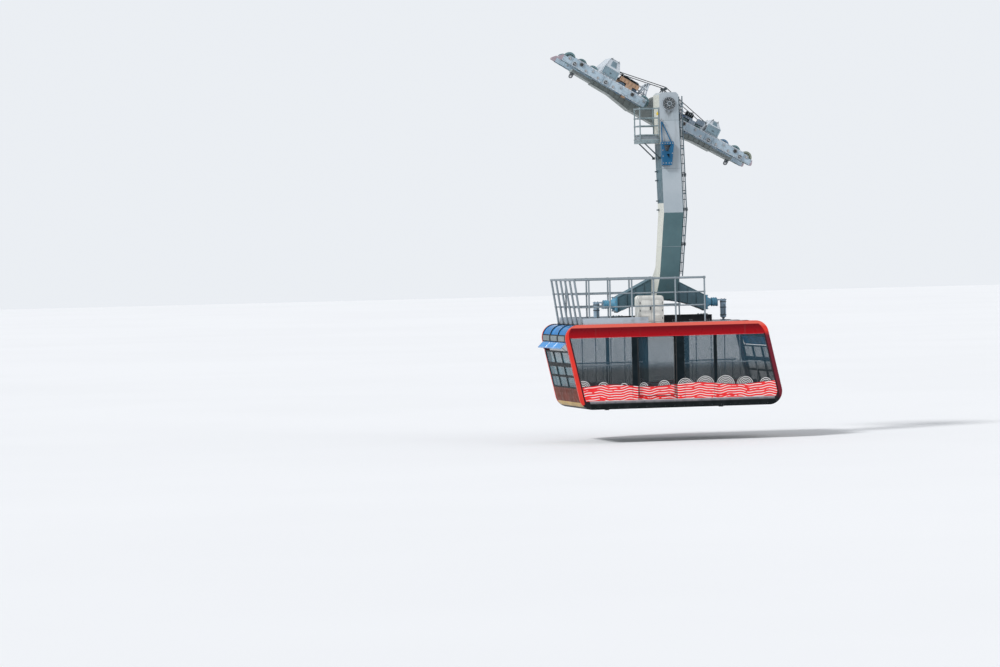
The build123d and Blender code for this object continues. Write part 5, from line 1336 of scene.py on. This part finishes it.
def dress_sides():
    """Gaskets round the side glass, door seals and grips, the threshold and the sill's bright edge."""
    for tag, side in (("near", -1), ("far", 1)):
        gasket(f"gasket_{tag}_side_windows", f"{tag}_side_windows", (0, side, 0), 0.016, -0.005)
    for tag, side in (("near", -1), ("far", 1)):
        gasket(f"gasket_{tag}_door_window", f"{tag}_door_window", (0, side, 0), 0.022, 0.003)
    half_turn = Matrix.Rotation(math.pi, 4, "Z")
    for side, basis, door in ((-1, Matrix(), "near_door"), (1, half_turn, "far_door")):
        seal = kit(f"{door}_seals", RUBBER, door, basis)
        seal.box((-1.297, -1.660, -9.36), (-1.284, -1.624, -7.17))
        seal.box((0.094, -1.660, -9.36), (0.107, -1.624, -7.17))
        grip = kit(f"{door}_grips", "stainless", door, basis)
        grip.box((-1.272, -1.667, -8.52), (-1.236, -1.662, -8.26))
        grip.box((-1.265, -1.669, -8.49), (-1.259, -1.662, -8.29))
        handle = ((-1.624, -8.55), (-1.585, -8.55), (-1.585, -8.15), (-1.624, -8.15))
        grip.tube([(-1.254, y, z) for y, z in handle], 0.010, 8)
        grip.bolts(grid((-1.252, 0.062), -1.662, (-9.33, -9.0, -7.9, -7.5, -7.2)), (0, -1, 0), 0.009)
        mirrored = Matrix.Diagonal((1.0, -side, 1.0, 1.0))
        bay = kit(f"threshold_{door}", "stainless", basis=basis)
        bay.box((-1.255, -1.7495, -9.390), (0.065, -1.672, SILL_TOP))
        for y in spread(-1.735, -1.69, 5):
            bay.box((-1.25, y - 0.003, SILL_TOP), (0.06, y + 0.003, SILL_TOP + 0.0025))
        trim = kit(f"sill_trim_{door}", "sill_edge", basis=mirrored)
        trim.box((-2.95, -1.7496, -9.396), (3.46, -1.7425, -9.372))
        edges = kit(f"bay_seals_{door}", RUBBER, basis=basis)
        for x in (-1.262, 0.072):
            edges.box((x - 0.007, -1.748, SILL_TOP), (x + 0.007, -1.676, -7.262))
        cover = kit(f"track_cover_{door}", "black_enamel", basis=basis)
        cover.box((-1.30, -1.598, -7.20), (1.34, -1.592, -7.10))
        steel = kit(f"track_bolts_{door}", STEEL, basis=basis)
        steel.bolts(grid(spread(-1.22, 1.28, 8), -1.592, -7.15), ALONG_Y, 0.014)
        lip = kit(f"fascia_lip_{door}", "lip_red", basis=mirrored)
        lip.box((-3.50, -1.7496, -7.274), (3.10, -1.7425, -7.252))
    steel = kit("sill_bolts", DARK)
    for start, z in ((-2.7, -9.43), (-2.6, -9.60)):
        steel.bolts(grid(spread(start, 3.2, 19), -1.75, z), (0, -1, 0), 0.016)


def end_basis(end):
    """Across, up the slope and out of one end wall, from the middle of its face."""
    sine, cosine = math.sin(WALL_SLANT), math.cos(WALL_SLANT)
    origin = Vector((end * WALL_FACE, 0.0, WALL_MIDDLE))
    return frame_matrix(origin, ALONG_Y, (-sine, 0.0, cosine), (end * cosine, 0.0, end * sine))


def end_skin(end, z, lift):
    """A point of an end wall's round upper corner or slope at a height, lifted off the skin."""
    sine, cosine = math.sin(WALL_SLANT), math.cos(WALL_SLANT)
    centre_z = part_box("near_side_frame")[1].z - CORNER_RADIUS
    if z < centre_z + end * CORNER_RADIUS * sine:
        x = end * WALL_FACE - (z - WALL_MIDDLE) * END_LEAN
        return Vector((x + end * cosine * lift, 0.0, z + end * sine * lift))
    centre_x = end * WALL_FACE - (centre_z - WALL_MIDDLE) * END_LEAN - end * CORNER_RADIUS / cosine
    reach = math.sqrt(CORNER_RADIUS ** 2 - (z - centre_z) ** 2)
    out = Vector((end * reach, 0.0, z - centre_z)).normalized()
    return Vector((centre_x + end * reach, 0.0, z)) + out * lift


def dress_transoms():
    """Three small panes in a row at each end, between the eaves glass and the flap."""
    panes = kit("end_transoms", "transom_pale")
    heights = spread(-7.372, -7.200, 6)
    count = len(heights)
    faces = [(a * count + n, a * count + n + 1, b * count + n + 1, b * count + n)
             for n in range(count - 1) for a, b in ((0, 1), (3, 2), (2, 0), (1, 3))]
    faces += [(n, count + n, 3 * count + n, 2 * count + n) for n in (0, count - 1)]
    for end, pair in product(SIDES, ((-1.56, -0.64), (-0.44, 0.44), (0.64, 1.56))):
        rows = product((-0.004, 0.003), pair, heights)
        panes.solid([end_skin(end, z, lift) + Vector((0, y, 0)) for lift, y, z in rows], faces)


def dress_ends():
    """Gaskets round the end glass, the flaps' hinge knuckles and stays, and the lower panel's bolts."""
    def up(z):
        return (z - WALL_MIDDLE) / math.cos(WALL_SLANT)

    for end, tag in ((-1, "uphill"), (1, "downhill")):
        basis = end_basis(end)
        gasket(f"gasket_end_{tag}", "end_windows", basis.to_3x3() @ Vector(UP), 0.020, 0.004)
        steel, rib = kits("cabin", basis, end_bolts=STEEL, end_panel_ribs="panel_crimson")
        steel.bolts(grid(spread(-1.60, 1.60, 12), up(-8.985), 0), UP, 0.016)
        for z in (-9.10, -9.04):
            rib.box((-1.62, up(z), 0), (1.62, up(z + 0.015), 0.008))
        steel.bolts(grid((-1.635, 1.635), [up(z) for z in spread(-8.90, -7.80, 9)], 0), UP, 0.012)
        plain, leaf = kits(flap_hinges=DARK, flap_frames="stainless")
        hinge = Vector((end * 3.498 - 0.1835, 0, -7.4173))
        theta = math.radians(12.5 - end * 34.0)
        down = Vector((-math.sin(theta), 0, -math.cos(theta)))
        normal = Vector((end * math.cos(theta), 0, -end * math.sin(theta)))

        def on_flap(y, reach, lift=0.010):
            return hinge + Vector((0, y, 0)) + down * reach + normal * lift

        for y in spread(-1.45, 1.45, 5):
            plain.pin(hinge + Vector((0, y, 0)), (0, 0.05, 0), 0.019, 14)
            plain.block(hinge + Vector((0, y, 0.010)), (0.012, 0.045, 0.012))
        for y in (-1.50, 1.50):
            wall = basis @ Vector((y, up(-7.70), 0.002))
            plain.tube([on_flap(y, 0.20, -0.012), wall], 0.008, 8)
            plain.pin(wall, (0, 0.02, 0), 0.014, 12)
        near, far = FLAP_REACH
        leaf.tube([on_flap(*spot) for spot in ((-1.60, near), (1.60, near), (1.60, far), (-1.60, far))],
                  0.007, 6, True)
        for y in (-0.54, 0.54):
            leaf.tube([on_flap(y, reach) for reach in FLAP_REACH], 0.007, 6)


def dress_interior():
    """Ceiling lamps, seams, pole flanges and rail feet inside the cabin."""
    lamp, rims, seams, flange, steel, mats = kits(
        ceiling_lamps="lamp_lens", lamp_frames="stainless", ceiling_seams=DARK, pole_flanges="stainless",
        pole_bolts=STEEL, floor_strips=RUBBER)
    for x, y in product((-2.0, -0.7, 0.6, 1.9), (-0.55, 0.55)):
        lamp.box((x - 0.42, y - 0.055, CEILING - 0.022), (x + 0.42, y + 0.055, CEILING))
        corners = ((-0.43, -0.065), (0.43, -0.065), (0.43, 0.065), (-0.43, 0.065))
        rims.tube([(x + a, y + b, CEILING - 0.006) for a, b in corners], 0.010, 6, True)
    for x in (-2.6, -1.3, 0.0, 1.2):
        seams.box((x - 0.01, -1.60, CEILING - 0.004), (x + 0.01, 1.60, CEILING))
    for x, y, (z, out) in product((-2.5, -1.5, 1.5, 2.5), (-0.95, 0.95), ((CABIN_FLOOR, 1), (CEILING, -1))):
        flange.stack((x, y, z), (0, 0, out), (0, 0.012, 0.060, 28), (0.012, 0.030, 0.034, 20))
        steel.bolt_circle((x, y, z + out * 0.012), (0, 0, out), 0.047, 4, 0.012)
    for side, x in product(SIDES, RAIL_FEET):
        flange.stack((-side * x, side * 1.5, CABIN_FLOOR), UP, (0, 0.010, 0.045, 24))
        steel.bolt_circle((-side * x, side * 1.5, CABIN_FLOOR + 0.010), UP, 0.033, 4, 0.010)
    for y in spread(-1.2, 1.2, 7):
        mats.box((-2.9, y - 0.03, CABIN_FLOOR), (2.9, y + 0.03, CABIN_FLOOR + 0.003))


def dress_underside():
    """Bolts on the bearers, rubber rings on the feet, pipes and two boxes under the floor."""
    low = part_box("underframe")[0].z
    bearer = low + 0.06
    steel, rings, plain = kits(bearer_bolts=STEEL, foot_rings=RUBBER, floor_boxes="under_grey")
    for y in (-1.25, -0.42, 0.42, 1.25):
        steel.bolts(grid(spread(-2.25, 2.55, 13), (y - 0.035, y + 0.035), bearer), (0, 0, -1), 0.018)
    for foot in grid((-2.23, 1.71), (-1.25, 1.25), (low + 0.004, low + 0.030)):
        rings.annulus(foot, UP, 0.068, 0.080, 0.014, 32)
    for y in (-0.84, 0.84):
        plain.tube([(-2.3, y, bearer + 0.045), (2.6, y, bearer + 0.045)], 0.020)
        for x in spread(-2.1, 2.4, 9):
            plain.block((x, y, bearer + 0.060), (0.015, 0.03, 0.04))
    plain.box((-0.55, -0.30, bearer + 0.012), (0.10, 0.30, bearer + 0.10))
    plain.box((0.55, -0.26, bearer + 0.012), (1.25, 0.26, bearer + 0.10))
    steel.bolts(grid((-0.51, 0.06, 0.59, 1.21), (-0.22, 0.22), bearer + 0.012), (0, 0, -1), 0.020)


def dress():
    for step in (dress_wheels, dress_trucks, dress_housings, dress_brakes, dress_beam, dress_linkage,
                 dress_column, dress_platform, dress_bracket, dress_ladder, dress_yoke, dress_cabinet,
                 dress_roof, dress_railing, dress_sides, dress_transoms, dress_ends, dress_interior,
                 dress_underside):
        step()
    for group in KITS.values():
        group.make()


make_materials()
finish_nodes()
dress()
set_camera()
set_stage()
